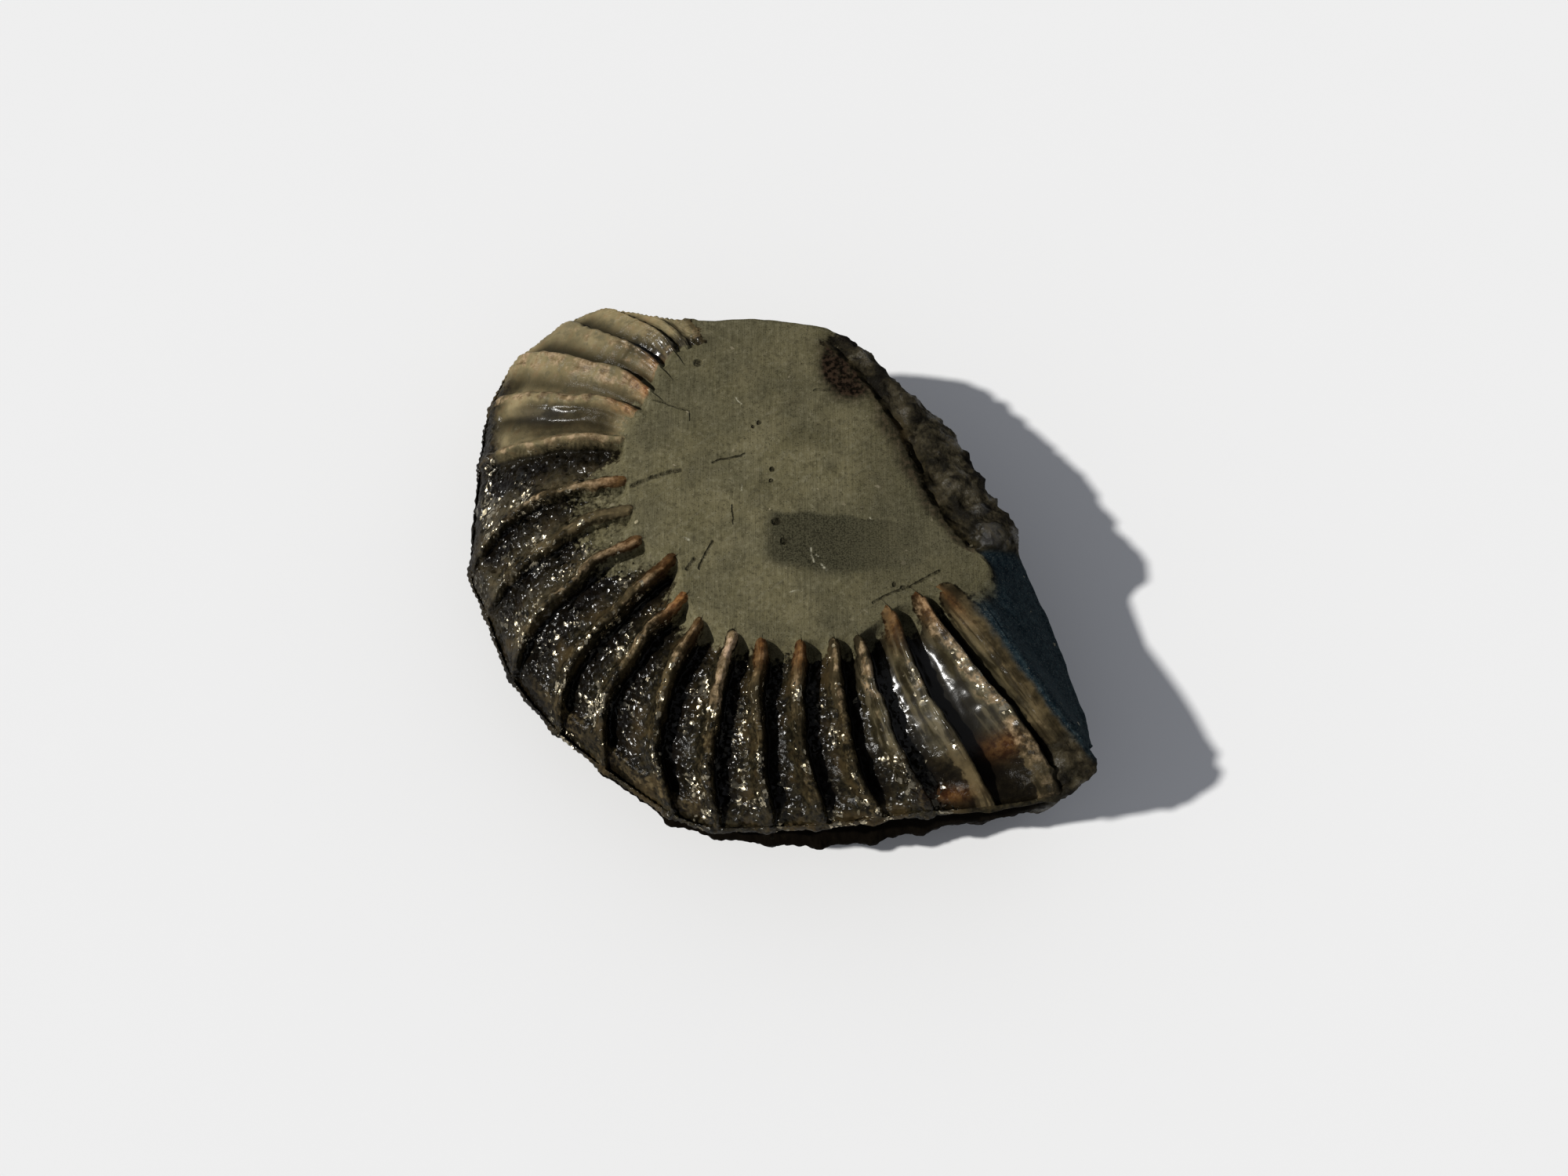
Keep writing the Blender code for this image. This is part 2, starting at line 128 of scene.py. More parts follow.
BROKEN_EDGE = [
    ("crest", (26.0, -7.2), (39.2, -28.0), 20.6, (0.8, 1.1, 0.8), 2.2, 0.0, 0.2, 0.4, 0.0, 13.0, 5.0),
    ("bevel 1", (27.2, -6.6), (39.6, -25.0), 17.6, STRAIGHT, 0.5, 0.0, 1.0, 0.3, -0.3, 9.0, 4.5),
    ("bevel 2", (27.9, -6.0), (39.0, -20.3), 16.0, STRAIGHT, 0.3, 0.0, 1.0, 0.3, -0.4, 8.0, 4.5),
    ("bevel 3", (28.3, -5.3), (37.4, -14.3), 15.5, STRAIGHT, 0.2, 0.0, 1.0, 0.3, -0.5, 7.0, 4.5),
    ("bevel 4", (28.2, -4.6), (35.6, -8.6), 15.3, STRAIGHT, 0.2, 0.0, 1.0, 0.3, -0.5, 7.0, 4.5),
    ("bevel 5", (27.5, -3.8), (33.6, -3.8), 16.5, STRAIGHT, 0.2, 0.0, 0.8, 0.3, -0.5, 7.0, 4.5),
    ("break 1", (26.2, -2.8), (31.9, -1.4), 20.3, STRAIGHT, 0.3, 0.0, 0.0, 0.4, -0.8, 8.0, 4.5),
    ("break 2", (24.2, -0.8), (31.6, 1.2), 20.8, STRAIGHT, 0.2, 0.0, 0.0, 0.4, -0.8, 8.0, 4.5),
    ("break 3", (21.8, 2.9), (29.4, 4.4), 21.0, STRAIGHT, 0.0, 0.0, 0.0, 0.5, -1.0, 8.0, 4.5),
    ("break 4", (19.8, 7.0), (27.1, 8.8), 21.0, STRAIGHT, 0.0, 0.0, 0.0, 0.5, -1.0, 8.0, 4.5),
    ("break 5", (18.2, 11.3), (24.6, 13.6), 21.0, STRAIGHT, 0.0, 0.0, 0.0, 0.4, -1.0, 8.0, 4.5),
    ("break 6", (16.3, 15.6), (21.8, 17.3), 21.0, STRAIGHT, 0.0, 0.0, 0.0, 0.4, -1.0, 8.0, 4.5),
    ("break 7", (14.2, 19.6), (17.8, 20.9), 21.2, STRAIGHT, 0.0, 0.0, 0.0, 0.3, -1.0, 8.0, 4.5),
    ("break 8", (11.3, 23.6), (14.7, 25.3), 21.2, STRAIGHT, 0.0, 0.0, 0.0, 0.3, -1.0, 8.0, 4.5),
    ("break 9", (8.6, 26.6), (11.1, 28.2), 21.3, STRAIGHT, 0.0, 0.0, 0.0, 0.3, -0.8, 8.0, 5.0),
    ("back 1", (5.5, 27.6), (7.1, 30.1), 21.5, STRAIGHT, 0.0, 0.0, 0.0, 0.2, -0.6, 8.0, 5.0),
    ("back 2", (-0.5, 27.4), (-0.5, 31.0), 21.6, STRAIGHT, 0.0, 0.0, 0.0, 0.2, -0.5, 8.0, 5.5),
]
STATIONS = [Station(*row) for row in WHORL + BROKEN_EDGE]
COUNT = len(STATIONS)
CREST = len(WHORL)
NUMBER = {station.name: index for index, station in enumerate(STATIONS)}
# RIB.f is the number of rib f's station
RIB = SimpleNamespace(**{name[4:]: number for name, number in NUMBER.items() if name.startswith("rib")})
BREAK_STARTS = NUMBER["break 1"]
BREAK_ENDS = NUMBER["break 9"]
BACK_STARTS = NUMBER["back 1"]

# The cross-section of each rib: half its width on the side of the rib before it and of
# the rib after it, in mm, how pale and tan its crest is (0 to 1) and how far along the
# flank the tan goes (0 to 1)
RIB_FORM = {
    "rib a": (1.0, 0.6, 0.5, 0.6), "rib b": (0.7, 2.4, 0.35, 0.5), "rib c": (0.7, 2.6, 0.55, 0.8),
    "rib d": (0.8, 2.4, 0.85, 1.0), "rib e": (0.8, 1.0, 0.8, 1.1), "rib f": (0.8, 0.7, 0.85, 0.9),
    "rib g": (0.9, 0.75, 0.9, 0.75), "rib h": (1.1, 0.8, 0.3, 0.4), "rib i": (0.9, 0.75, 0.8, 0.5),
    "rib j": (1.0, 0.75, 0.6, 0.5), "rib k": (1.0, 0.8, 0.75, 0.4), "rib l": (0.95, 0.8, 0.65, 0.4),
    "rib m": (1.0, 0.85, 1.6, 0.2), "rib n": (0.95, 0.8, 0.5, 0.3), "rib o": (0.95, 0.8, 0.5, 0.3),
    "rib p": (0.95, 0.8, 0.65, 0.35), "rib q": (0.95, 0.8, 0.65, 0.4), "rib r": (1.7, 0.7, 0.4, 0.5),
    "rib s": (1.9, 0.65, 0.75, 0.9), "rib t": (1.5, 2.6, 0.15, 1.0),
}
# How far outside the face a crest starts, in mm
RIB_START = 0.8
# How squarely a crest falls off on its later and on its earlier side
CREST_FALLS = (3.6, 2.3)

# Lumps on the broken right side: place, radius and height. The first WET_LUMPS are wet.
LUMPS = [
    ((28.4, -0.9), 2.4, 1.5),
    ((27.6, 3.0), 1.6, 0.9),
    ((25.0, 6.6), 2.0, 0.7),
    ((22.4, 13.2), 1.8, 0.8),
    ((18.9, 17.2), 1.8, 0.8),
    ((15.4, 21.4), 1.5, 0.7),
    ((12.4, 25.3), 1.5, 0.6),
    ((22.6, 8.6), 1.3, -0.9),
    ((20.2, 14.6), 1.2, -0.9),
    ((25.4, 3.4), 1.2, -0.6),
]
WET_LUMPS = 2

# Fineness of the net, and how much closer together the columns stand on the crests and
# the rings at both ends of the flank
RIB_COLUMNS = 44
EDGE_COLUMNS = 14
FACE_RINGS = 80
FLANK_RINGS = 180
SIDE_RINGS = 48
BASE_RINGS = 5
CLOSER_COLUMNS = 0.09
CLOSER_RINGS = 0.03


def rise(low, high, value):
    """0 up to low, 1 from high on, with a smooth rise between them."""
    t = np.clip((value - low) / (high - low), 0.0, 1.0)
    return t * t * (3.0 - 2.0 * t)


def fall(low, high, value):
    return 1.0 - rise(low, high, value)


def bump_at(value, middle, width):
    return np.exp(-((value - middle) / width) ** 2)


# Noise

def lattice(ix, iy, iz, seed):
    """One repeatable number from 0 to 1 for each corner of a lattice."""
    n = ix * 374761393 + iy * 668265263 + iz * 1442695041 + seed * 974634777
    n = (n ^ (n >> 13)) * 1274126177
    n = n ^ (n >> 16)
    return (n & 0xFFFFFF) / float(0xFFFFFF)


def noise(points, size, seed):
    """Smooth noise from -1 to 1 at 3-D points, with features of the given size."""
    scaled = points / size
    low = np.floor(scaled).astype(np.int64)
    part = scaled - low
    part = part * part * part * (part * (part * 6.0 - 15.0) + 10.0)
    total = 0.0
    for dx in (0, 1):
        for dy in (0, 1):
            for dz in (0, 1):
                weight = ((part[..., 0] if dx else 1.0 - part[..., 0])
                          * (part[..., 1] if dy else 1.0 - part[..., 1])
                          * (part[..., 2] if dz else 1.0 - part[..., 2]))
                total = total + weight * lattice(low[..., 0] + dx, low[..., 1] + dy, low[..., 2] + dz, seed)
    return total * 2.0 - 1.0


def fractal(points, size, seed, octaves=4):
    total = 0.0
    strength = 1.0
    for octave in range(octaves):
        total = total + strength * noise(points, size / 2.0 ** octave, seed + octave)
        strength *= 0.5
    return total / (2.0 - 2.0 * strength)


def grains(points, size, seed):
    """Domes packed side by side: 1 in the middle of a grain, 0 between grains."""
    scaled = points / size
    low = np.floor(scaled).astype(np.int64)
    nearest = np.full(points.shape[:-1], 9.0)
    for dx in (-1, 0, 1):
        for dy in (-1, 0, 1):
            for dz in (-1, 0, 1):
                cell = [low[..., axis] + step for axis, step in enumerate((dx, dy, dz))]
                away = 0.0
                for axis in range(3):
                    middle = cell[axis] + lattice(*cell, seed + 7 * axis)
                    away = away + (middle - scaled[..., axis]) ** 2
                nearest = np.minimum(nearest, away)
    return np.clip(1.0 - nearest * 1.6, 0.0, 1.0)


# The net, as in the solid

def curve(p0, p1, p2, p3, part):
    """A smooth curve from p1 to p2 that heads for p0 and p3 beyond them."""
    return 0.5 * (2.0 * p1 + (p2 - p0) * part
                  + (2.0 * p0 - 5.0 * p1 + 4.0 * p2 - p3) * part ** 2
                  + (3.0 * p1 - p0 - 3.0 * p2 + p3) * part ** 3)


def table(field):
    return np.array([getattr(station, field) for station in STATIONS], dtype=float)


def around(values, place):
    """A smooth closed curve through one value or point for each station."""
    first = np.floor(place).astype(int)
    part = place - first
    if values.ndim > 1:
        part = part[..., None]
    return curve(*(values[(first + step) % COUNT] for step in (-1, 0, 1, 2)), part)


def between(values, place):
    """Straight from the value or point of one station to the next."""
    first = np.floor(place).astype(int)
    part = place - first
    if values.ndim > 1:
        part = part[..., None]
    return values[first % COUNT] * (1.0 - part) + values[(first + 1) % COUNT] * part


def columns():
    """Where the columns stand: closer together on the rib crests."""
    places = []
    for index in range(COUNT):
        ribbed = index < CREST
        count = RIB_COLUMNS if ribbed else EDGE_COLUMNS
        steps = np.arange(count) / count
        if ribbed:
            steps = steps - CLOSER_COLUMNS * np.sin(2.0 * np.pi * steps)
        places.append(index + steps)
    return np.concatenate(places)


PLACE = columns()
WIDE = len(PLACE)
ROOT = around(table("root"), PLACE)
TIP = around(table("tip"), PLACE)
BOWS = between(table("bows"), PLACE)
LENGTH = np.linalg.norm(TIP - ROOT, axis=1)[None]


def outward():
    step = 0.4
    along = around(table("tip"), PLACE + step) - around(table("tip"), PLACE - step)
    along /= np.linalg.norm(along, axis=1)[:, None]
    return np.stack([along[:, 1], -along[:, 0]], axis=1)


OUT = outward()
# 1 on the broken sides, 0 on the whorl
WALL = rise(CREST - 1.0, CREST + 1.0, PLACE) * fall(COUNT - 1.0, float(COUNT), PLACE)


def bow_at(bows, s):
    """How far a path bows back at s, on a smooth curve through its three bows."""
    zero = np.zeros_like(bows[..., 0])
    knots = np.stack([-bows[..., 0], zero, bows[..., 0], bows[..., 1], bows[..., 2], zero, -bows[..., 2]])
    knots = np.broadcast_to(knots, (7,) + np.broadcast_shapes(knots.shape[1:], s.shape))
    first = np.minimum((s * 4.0).astype(int), 3)
    part = s * 4.0 - first
    first = np.broadcast_to(first, knots.shape[1:])
    return curve(*(np.take_along_axis(knots, first[None] + step, axis=0)[0] for step in range(4)), part)


def path(root, tip, bows, s):
    chord = tip - root
    back = np.stack([chord[..., 1], -chord[..., 0]], axis=-1)
    back = back / np.linalg.norm(back, axis=-1)[..., None]
    return root + chord * s[..., None] + back * bow_at(bows, s)[..., None]


# How the ribs' relief is shared between the cords themselves and the sinking floor
CORD_PART = 0.55
FLOOR_PART = 0.85


def whorl_part(first, last, soft=0.35):
    """1 between two places around the whorl, fading at both ends."""
    part = rise(first - soft, first + soft, PLACE)
    return (part * fall(last - soft, last + soft, PLACE))[None]


def rib_form(field, index, other=1.0):
    """One number of a rib's cross-section for each column."""
    values = np.array([RIB_FORM[s.name][field] if s.name in RIB_FORM else other for s in STATIONS])
    return values[index % COUNT][None]


def rib_distance(index, s, plan):
    """How far each point is from a rib's crest line, which starts just outside the face."""
    root, tip, bows = (table(name)[index][None] for name in ("root", "tip", "bows"))
    start = RIB_START / np.linalg.norm(tip - root, axis=-1)
    return np.linalg.norm(plan - path(root, tip, bows, np.maximum(s, start)), axis=-1)


def rib_cords(s, plan):
    """The ribs between two neighbouring crests, at each point of the face or flank.

    Gives how high the cords stand (0 in the groove, 1 on a crest), how far the groove
    floor sinks below the cords' feet (0 to 1), how much of a tan crest it is, and how far
    across the groove the point is, from its deeper side (0 to 1)."""
    first = np.floor(PLACE).astype(int)
    ribbed = table("rib") > 0.0
    cord = 0.0
    tan = 0.0
    away = []
    for step in (0, 1):
        index = (first + step) % COUNT
        across = rib_distance(index, s, plan)
        spot = np.stack(np.broadcast_arrays(s * 22.0, index[None] * 7.3, 0.0), axis=-1)
        wobble = 0.2 * noise(spot, 3.1, 11) + 0.1 * noise(spot, 0.9, 12)
        across = np.maximum(across + (wobble if step == 0 else -wobble) * rise(0.0, 0.1, s), 0.0)
        width = rib_form(1 if step == 0 else 0, index)
        width = width * (0.9 + 0.1 * rise(0.0, 0.25, s) + 0.1 * rise(0.7, 1.0, s))
        width = width * (1.0 + 0.14 * noise(spot, 2.3, 13))
        shape = np.exp(-(across / width) ** CREST_FALLS[step]) * ribbed[index][None]
        nicks = 0.18 * noise(spot, 2.6, 14) + 0.22 * noise(spot, 0.7, 16) * rise(0.1, 0.4, s)
        cord = np.maximum(cord, shape * (1.0 + nicks))
        reach = rib_form(3, index, 1.0) + 0.12 * noise(spot, 4.0, 15)
        along = 1.0 - 0.85 * rise(reach - 0.15, reach + 0.3, s)
        tan = np.maximum(tan, shape * rib_form(2, index, 0.0) * along)
        away.append(across)
    before, after = away
    part = before / np.maximum(before + after, 1e-6)
    late = rise(4.3, 5.2, PLACE)[None]
    gentle = 1.15 + 2.2 * whorl_part(RIB.e, RIB.f, 0.1)
    falling = rise(0.45, 1.0, before / gentle) * (1.0 - part) ** 0.7
    rising = rise(0.3, 1.1, after) * part ** 0.8
    floor_depth = (late * falling + (1.0 - late) * rising) * (PLACE < RIB.t)[None]
    return cord, floor_depth, tan, late * part + (1.0 - late) * (1.0 - part)


def rib_cut(s, across):
    """How much of their full depth the grooves have along the flank, 0 to 1.

    On its deeper side a groove begins at the edge of the face, on the other side later."""
    filled = whorl_part(RIB.g - 0.5, RIB.k + 0.3)
    full = 0.032 + (0.04 + 0.13 * filled) * rise(0.1, 0.7, across)
    shallow = 0.55 - 0.3 * whorl_part(RIB.h, RIB.m)
    return rise(0.0, 1.0, s / full) * (1.0 - shallow * rise(0.84, 0.97, s))


def hollow(plan):
    """The shallow ground hollow in the lower right of the face, 0 to 1."""
    x, y = plan[..., 0], plan[..., 1]
    upper = 2.9 - 0.1 * np.maximum(x - 6.0, 0.0) + 0.15 * np.sin(x * 1.3)
    lower = -6.4 + 0.9 * np.abs((x - 12.0) / 8.0) ** 2.5
    inside = rise(0.0, 0.7, upper - y) * rise(-0.6, 1.6, y - lower)
    return inside * rise(-0.5, 2.2, x) * fall(19.5, 22.5, x)


def face_height(plan):
    back = rise(BACK_DROP_FROM_Y, BACK_DROP_TO_Y, plan[..., 1])
    dome = FACE_DOME * np.linalg.norm(plan - FACE_CENTRE, axis=-1)
    return FACE_Z - dome - BACK_DROP * back - HOLLOW_DEPTH * hollow(plan)


def lumps(plan):
    total = 0.0
    for spot, radius, height in LUMPS:
        away = np.linalg.norm(plan - np.array(spot), axis=-1) / radius
        total = total + height * np.exp(-1.6 * away * away)
    return total


def flank():
    """The ribbed flank and the top of the broken edge, from the flat face to the rim."""
    t = np.arange(FLANK_RINGS + 1) / FLANK_RINGS
    s = (t - CLOSER_RINGS * np.sin(2.0 * np.pi * t))[:, None]
    s = np.broadcast_to(s, (FLANK_RINGS + 1, WIDE))
    plan = path(ROOT[None], TIP[None], BOWS[None], s)
    root_z = face_height(ROOT)
    rim_z = around(table("rim_z"), PLACE)
    straight = between(table("plane"), PLACE)
    slope = (1.0 - s * s) ** FLANK_ROUNDNESS * (1.0 - straight) + (1.0 - s) * straight
    height = rim_z + (root_z - rim_z) * slope + around(table("swell"), PLACE) * 4.0 * s * (1.0 - s)
    cord, floor_depth, tan, across = rib_cords(s, plan)
    cut = rib_cut(s, across)
    relief = between(table("rib"), PLACE) * fall(RIB.t + 0.05, RIB.t + 0.5, PLACE)
    height = height - cut * relief * (CORD_PART * (1.0 - cord) + FLOOR_PART * floor_depth)
    root_rise = RIB_ROOT_RISE * fall(0.2, 0.5, s)
    height = height + root_rise * cord + lumps(plan) + band(s) + rim_cord(s, cord)
    points = np.concatenate([plan, height[..., None]], axis=-1)
    return points, s, cord, cut * floor_depth, tan


def band(s):
    """The break at the right: the face rolls down into a crack, then a band of lumps rises."""
    part = rise(BREAK_STARTS - 0.3, BREAK_STARTS + 0.6, PLACE)
    part = (part * fall(BREAK_ENDS, BACK_STARTS, PLACE))[None]
    away = s * LENGTH
    run = np.stack(np.broadcast_arrays(PLACE[None] * 3.0, 0.0, 0.0), axis=-1)
    wave = 0.5 * noise(run, 1.9, 17) + 0.3 * noise(run, 0.6, 18)
    crack = np.exp(-((away - 1.35 - wave) / 0.55) ** 2)
    roll = rise(0.0, 1.6, away) * fall(2.2, 3.6, away)
    broken_up = rise(-0.5, 0.5, noise(run, 1.1, 19))
    return -part * (0.7 * crack * broken_up + 0.8 * roll)


RIDGED = whorl_part(RIB.i + 0.3, RIB.m - 0.2, 0.6)


def rim_ridge(s):
    """Where the smooth cord runs along the rim from rib i to rib m, just inside the edge."""
    return RIDGED * bump_at((1.0 - s) * LENGTH, 1.8, 1.2)


def rim_cord(s, cord):
    """The cord's height, with the slight dip between it and the ribs."""
    dip = RIDGED * bump_at((1.0 - s) * LENGTH, 3.4, 0.7)
    return 0.7 * rim_ridge(s) * (1.0 - 0.7 * cord) - 0.12 * dip


def face(flank_points):
    """The ground face, from just outside its middle to the rib roots."""
    t = (np.arange(1, FACE_RINGS + 1) / FACE_RINGS)[:, None]
    plan = FACE_CENTRE + (ROOT[None] - FACE_CENTRE) * t[..., None]
    cord, _, tan, _ = rib_cords(np.zeros_like(t * PLACE[None]), plan)
    height = face_height(plan) + RIB_ROOT_RISE * cord
    # near the roots the face takes up the height of the flank's first ring
    height = height + (flank_points[0, :, 2] - height[-1]) * rise(0.9, 1.0, t)
    return np.concatenate([plan, height[..., None]], axis=-1), cord, tan


def side():
    """Below the rim: the corded rim, the groove, the ledge and the lower flank."""
    rim_z = around(table("rim_z"), PLACE)
    groove = between(table("groove"), PLACE)
    ledge = between(table("ledge"), PLACE)
    ledge_z = between(table("ledge_z"), PLACE)
    foot = between(table("foot"), PLACE)
    at_rib = np.zeros(WIDE)
    for index in range(CREST):
        if STATIONS[index].rib > 0.0:
            spot = np.array([STATIONS[index].tip])
            at_rib = np.maximum(at_rib, np.exp(-(np.linalg.norm(TIP - spot, axis=1) / 1.1) ** 2))
    lower = LOWER_RIB_RELIEF * at_rib
    scallop = SCALLOP * (1.0 - at_rib) * (1.0 - WALL)
    groove_z = 0.5 * (rim_z - RIM_CORD_HEIGHT + ledge_z)

    def drawn_in(share):
        return ledge * (1.0 - share) - foot * share

    rows = [
        (0.0 * rim_z, rim_z),
        (RIM_CORD_OUT + 0.0 * rim_z, rim_z - CORD_LEVEL * RIM_CORD_HEIGHT),
        (CORD_FOOT_OUT + 0.0 * rim_z, rim_z - RIM_CORD_HEIGHT),
        (-groove, groove_z),
        (ledge, ledge_z),
        (drawn_in(LOWER_FLANK_IN) + lower, LOWER_FLANK_LEVEL * ledge_z),
        (drawn_in(LOWER_EDGE_IN) + lower, LOWER_EDGE_LEVEL * ledge_z),
        (-foot, 0.0 * rim_z),
    ]
    inward = (TIP - BASE_CENTRE) / np.linalg.norm(TIP - BASE_CENTRE, axis=1)[:, None]
    knots = []
    for number, (out, height) in enumerate(rows):
        way = inward if number >= 5 else OUT
        off = out - scallop if number > 0 else out
        knots.append(np.concatenate([TIP + way * off[:, None], height[:, None]], axis=1))
    knots = np.array([2.0 * knots[0] - knots[1]] + knots + [2.0 * knots[-1] - knots[-2]])
    t = np.arange(1, SIDE_RINGS + 1) / SIDE_RINGS * (len(rows) - 1)
    rings = []
    for value in t:
        first = min(int(value), len(rows) - 2)
        part = value - first
        straight = knots[first + 1] + (knots[first + 2] - knots[first + 1]) * part
        rounded = curve(*knots[first:first + 4], part)
        rings.append(SIDE_CURVE * rounded + (1.0 - SIDE_CURVE) * straight)
    points = np.array(rings)
    points[-1, :, 2] = 0.0
    return points, np.broadcast_to((t / (len(rows) - 1))[:, None], (SIDE_RINGS, WIDE))


def base(foot):
    t = (np.arange(1, BASE_RINGS + 1) / (BASE_RINGS + 1.0))[:, None, None]
    plan = foot[None, :, :2] + (BASE_CENTRE - foot[None, :, :2]) * t
    return np.concatenate([plan, np.zeros(plan.shape[:2] + (1,))], axis=-1)


def net_normals(net):
    down = np.gradient(net, axis=0)
    ahead = np.roll(net, -1, axis=1) - np.roll(net, 1, axis=1)
    normal = np.cross(down, ahead)
    length = np.linalg.norm(normal, axis=-1)
    return normal / np.maximum(length, 1e-9)[..., None]


flank_net, S, crest_flank, depth_flank, tan_flank = flank()
face_net, crest_face, tan_face = face(flank_net)
side_net, side_t = side()
base_net = base(side_net[-1])
NET = np.concatenate([face_net[:-1], flank_net, side_net, base_net], axis=0)
FACE_END = FACE_RINGS - 1
FLANK_END = FACE_END + FLANK_RINGS
SIDE_END = FLANK_END + SIDE_RINGS
ROWS = NET.shape[0]


def whole(values, rows, other=0.0):
    """A mask over the whole net from one that covers some of its rows."""
    full = np.full((ROWS, WIDE), other)
    full[rows] = values
    return full


ON_FACE = slice(0, FACE_END)
ON_FLANK = slice(FACE_END, FLANK_END + 1)
ON_SIDE = slice(FLANK_END + 1, SIDE_END + 1)
ON_BASE = slice(SIDE_END + 1, ROWS)
s_all = whole(S, ON_FLANK)
s_all[ON_SIDE] = 1.0
side_all = whole(side_t, ON_SIDE)
side_all[ON_BASE] = 1.0
crest_all = whole(crest_flank, ON_FLANK)
crest_all[ON_FACE] = crest_face[:-1]
crest_all = np.clip(crest_all, 0.0, 1.0)
tan_all = whole(tan_flank, ON_FLANK)
tan_all[ON_FACE] = tan_face[:-1]
plan_all = NET[..., :2]
x_all, y_all = NET[..., 0], NET[..., 1]
on_top = side_all == 0.0
whorl_all = np.broadcast_to((1.0 - WALL)[None], (ROWS, WIDE))

# Masks, 0 to 1: what each spot of the stone is made of, and where shade is painted on it
wander = fractal(NET, 3.0, 21)
patches = fractal(NET, 6.0, 22, 3)
granular_part = whorl_part(RIB.f + 0.12, RIB.q + 0.5, 0.2)
early_grains = whorl_part(RIB.f, RIB.i)
bared = granular_part * rise(0.3, 0.6, s_all + 0.2 * patches)
skin = rise(0.35, 0.75, crest_all) * on_top * (1.0 - 0.6 * bared)
rim_skin = whole(rim_ridge(S), ON_FLANK)
skin = np.maximum(skin, rise(0.3, 0.7, rim_skin) * (0.5 + 0.3 * wander))
flat = np.ones((ROWS, WIDE))
flat[ON_FLANK] = 1.0 - rise(0.03, 0.1, S + 0.03 * wander[ON_FLANK])
flat[ON_SIDE] = 0.0

crust = (whorl_part(RIB.d + 0.4, RIB.g) * fall(0.25, 0.4, side_all)
         * rise(0.8, 0.93, s_all + 0.05 * wander))
on_floor = rise(0.05, 0.16, s_all + 0.06 * wander) * (1.0 - 0.9 * rise(0.35, 0.8, crest_all))
on_crest = rise(0.35, 0.75, s_all + 0.25 * wander)
granular = granular_part * np.maximum(on_floor, 0.85 * on_crest) * fall(0.1, 0.3, side_all)
granular = granular * (1.0 - 0.6 * rise(0.2, 0.6, rim_skin))
granular = np.maximum(granular, crust)
granular = granular * (0.35 + 0.65 * rise(-0.35, 0.1, patches + 0.4 * wander + early_grains))
film_part = whorl_part(0.0, RIB.f + 0.1, 0.2)
worn_root = fall(RIB.c - 0.2, RIB.c + 0.5, PLACE)[None]
worn_root = worn_root * fall(0.2, 0.55, s_all + 0.25 * wander)
film_part = film_part * (1.0 - 0.85 * worn_root)
film_part = np.maximum(film_part, 0.13 * early_grains * (wander > -0.2))
film = film_part * (1.0 - 0.6 * rise(0.2, 0.5, side_all)) * (1.0 - crust)
root_shade = whorl_part(0.0, RIB.e + 0.2) * fall(0.05, 0.2, s_all + 0.08 * wander)
film = film * (1.0 - 0.75 * root_shade * fall(0.3, 0.7, crest_all))
glossy_part = whorl_part(RIB.q - 0.3, RIB.t - 0.25, 0.4)
glossy = glossy_part * rise(0.05, 0.3, s_all) * (1.0 - 0.8 * rise(0.1, 0.3, side_all))
glossy = glossy * (1.0 - 0.92 * rise(0.6, 0.78, s_all + 0.08 * wander))
bevel_part = (rise(CREST - 0.72, CREST - 0.22, PLACE + 0.1 * noise(NET, 0.9, 50))
              * fall(BREAK_STARTS - 0.6, BREAK_STARTS - 0.1, PLACE)[None])
below_bevel = (s_all > 0.5) * rise(0.1, 0.4, side_all + 0.15 * wander)
bevel = bevel_part * np.maximum(rise(0.02, 0.2, s_all), side_all > 0.0) * (1.0 - 0.8 * below_bevel)
broken_part = (rise(BREAK_STARTS - 0.5, BREAK_STARTS, PLACE)
               * fall(BACK_STARTS - 1.0, BACK_STARTS, PLACE))[None]
broken = broken_part * rise(0.1, 0.45, s_all + 0.12 * wander)
broken = np.maximum(broken, bevel_part * below_bevel)
low_corner_part = rise(RIB.r + 0.5, RIB.s + 0.3, PLACE) * (PLACE < CREST + 0.5)
broken = np.maximum(broken, 0.85 * low_corner_part[None] * rise(0.76, 0.9, s_all + 0.08 * wander))
# Painted shade: darker where the groove floor sinks deep, under the rim, in the hollow between ribs e and f
# and low on the polished flank; the same mask also makes the left rim darker
deep = whole(depth_flank, ON_FLANK) * whorl_all
hollow_ef = (whorl_part(RIB.e + 0.15, RIB.f - 0.1, 0.12)
             * rise(0.05, 0.2, s_all) * (1.0 - skin) * (1.0 - crust))
streak = bump_at(PLACE[None], RIB.e + 0.36, 0.17) * bump_at(s_all, 0.56, 0.19)
glossy = np.maximum(glossy, 0.9 * hollow_ef * streak)
# painted shade: the hollow's pale film gives way to the dark floor on its inner part, under rib e
film = film * (1.0 - 0.75 * hollow_ef * fall(0.6, 0.9, s_all + 0.1 * wander))
for spot, radius, _ in LUMPS[:WET_LUMPS]:
    away = np.linalg.norm(plan_all - np.array(spot), axis=-1) / radius
    glossy = np.maximum(glossy, 0.9 * np.exp(-(away / 0.7) ** 4) * on_top)
glossy = np.maximum(glossy, 0.75 * worn_root * (s_all > 0.0) * on_top * (WALL == 0.0)[None])
# painted shade under the rim, less of it on the early whorl
under_rim = rise(0.1, 0.24, side_all) * (1.0 - 0.5 * rise(0.5, 0.7, side_all))
deep = np.maximum(deep, 0.9 * under_rim * whorl_all * (1.0 - 0.6 * whorl_part(0.0, RIB.f)))
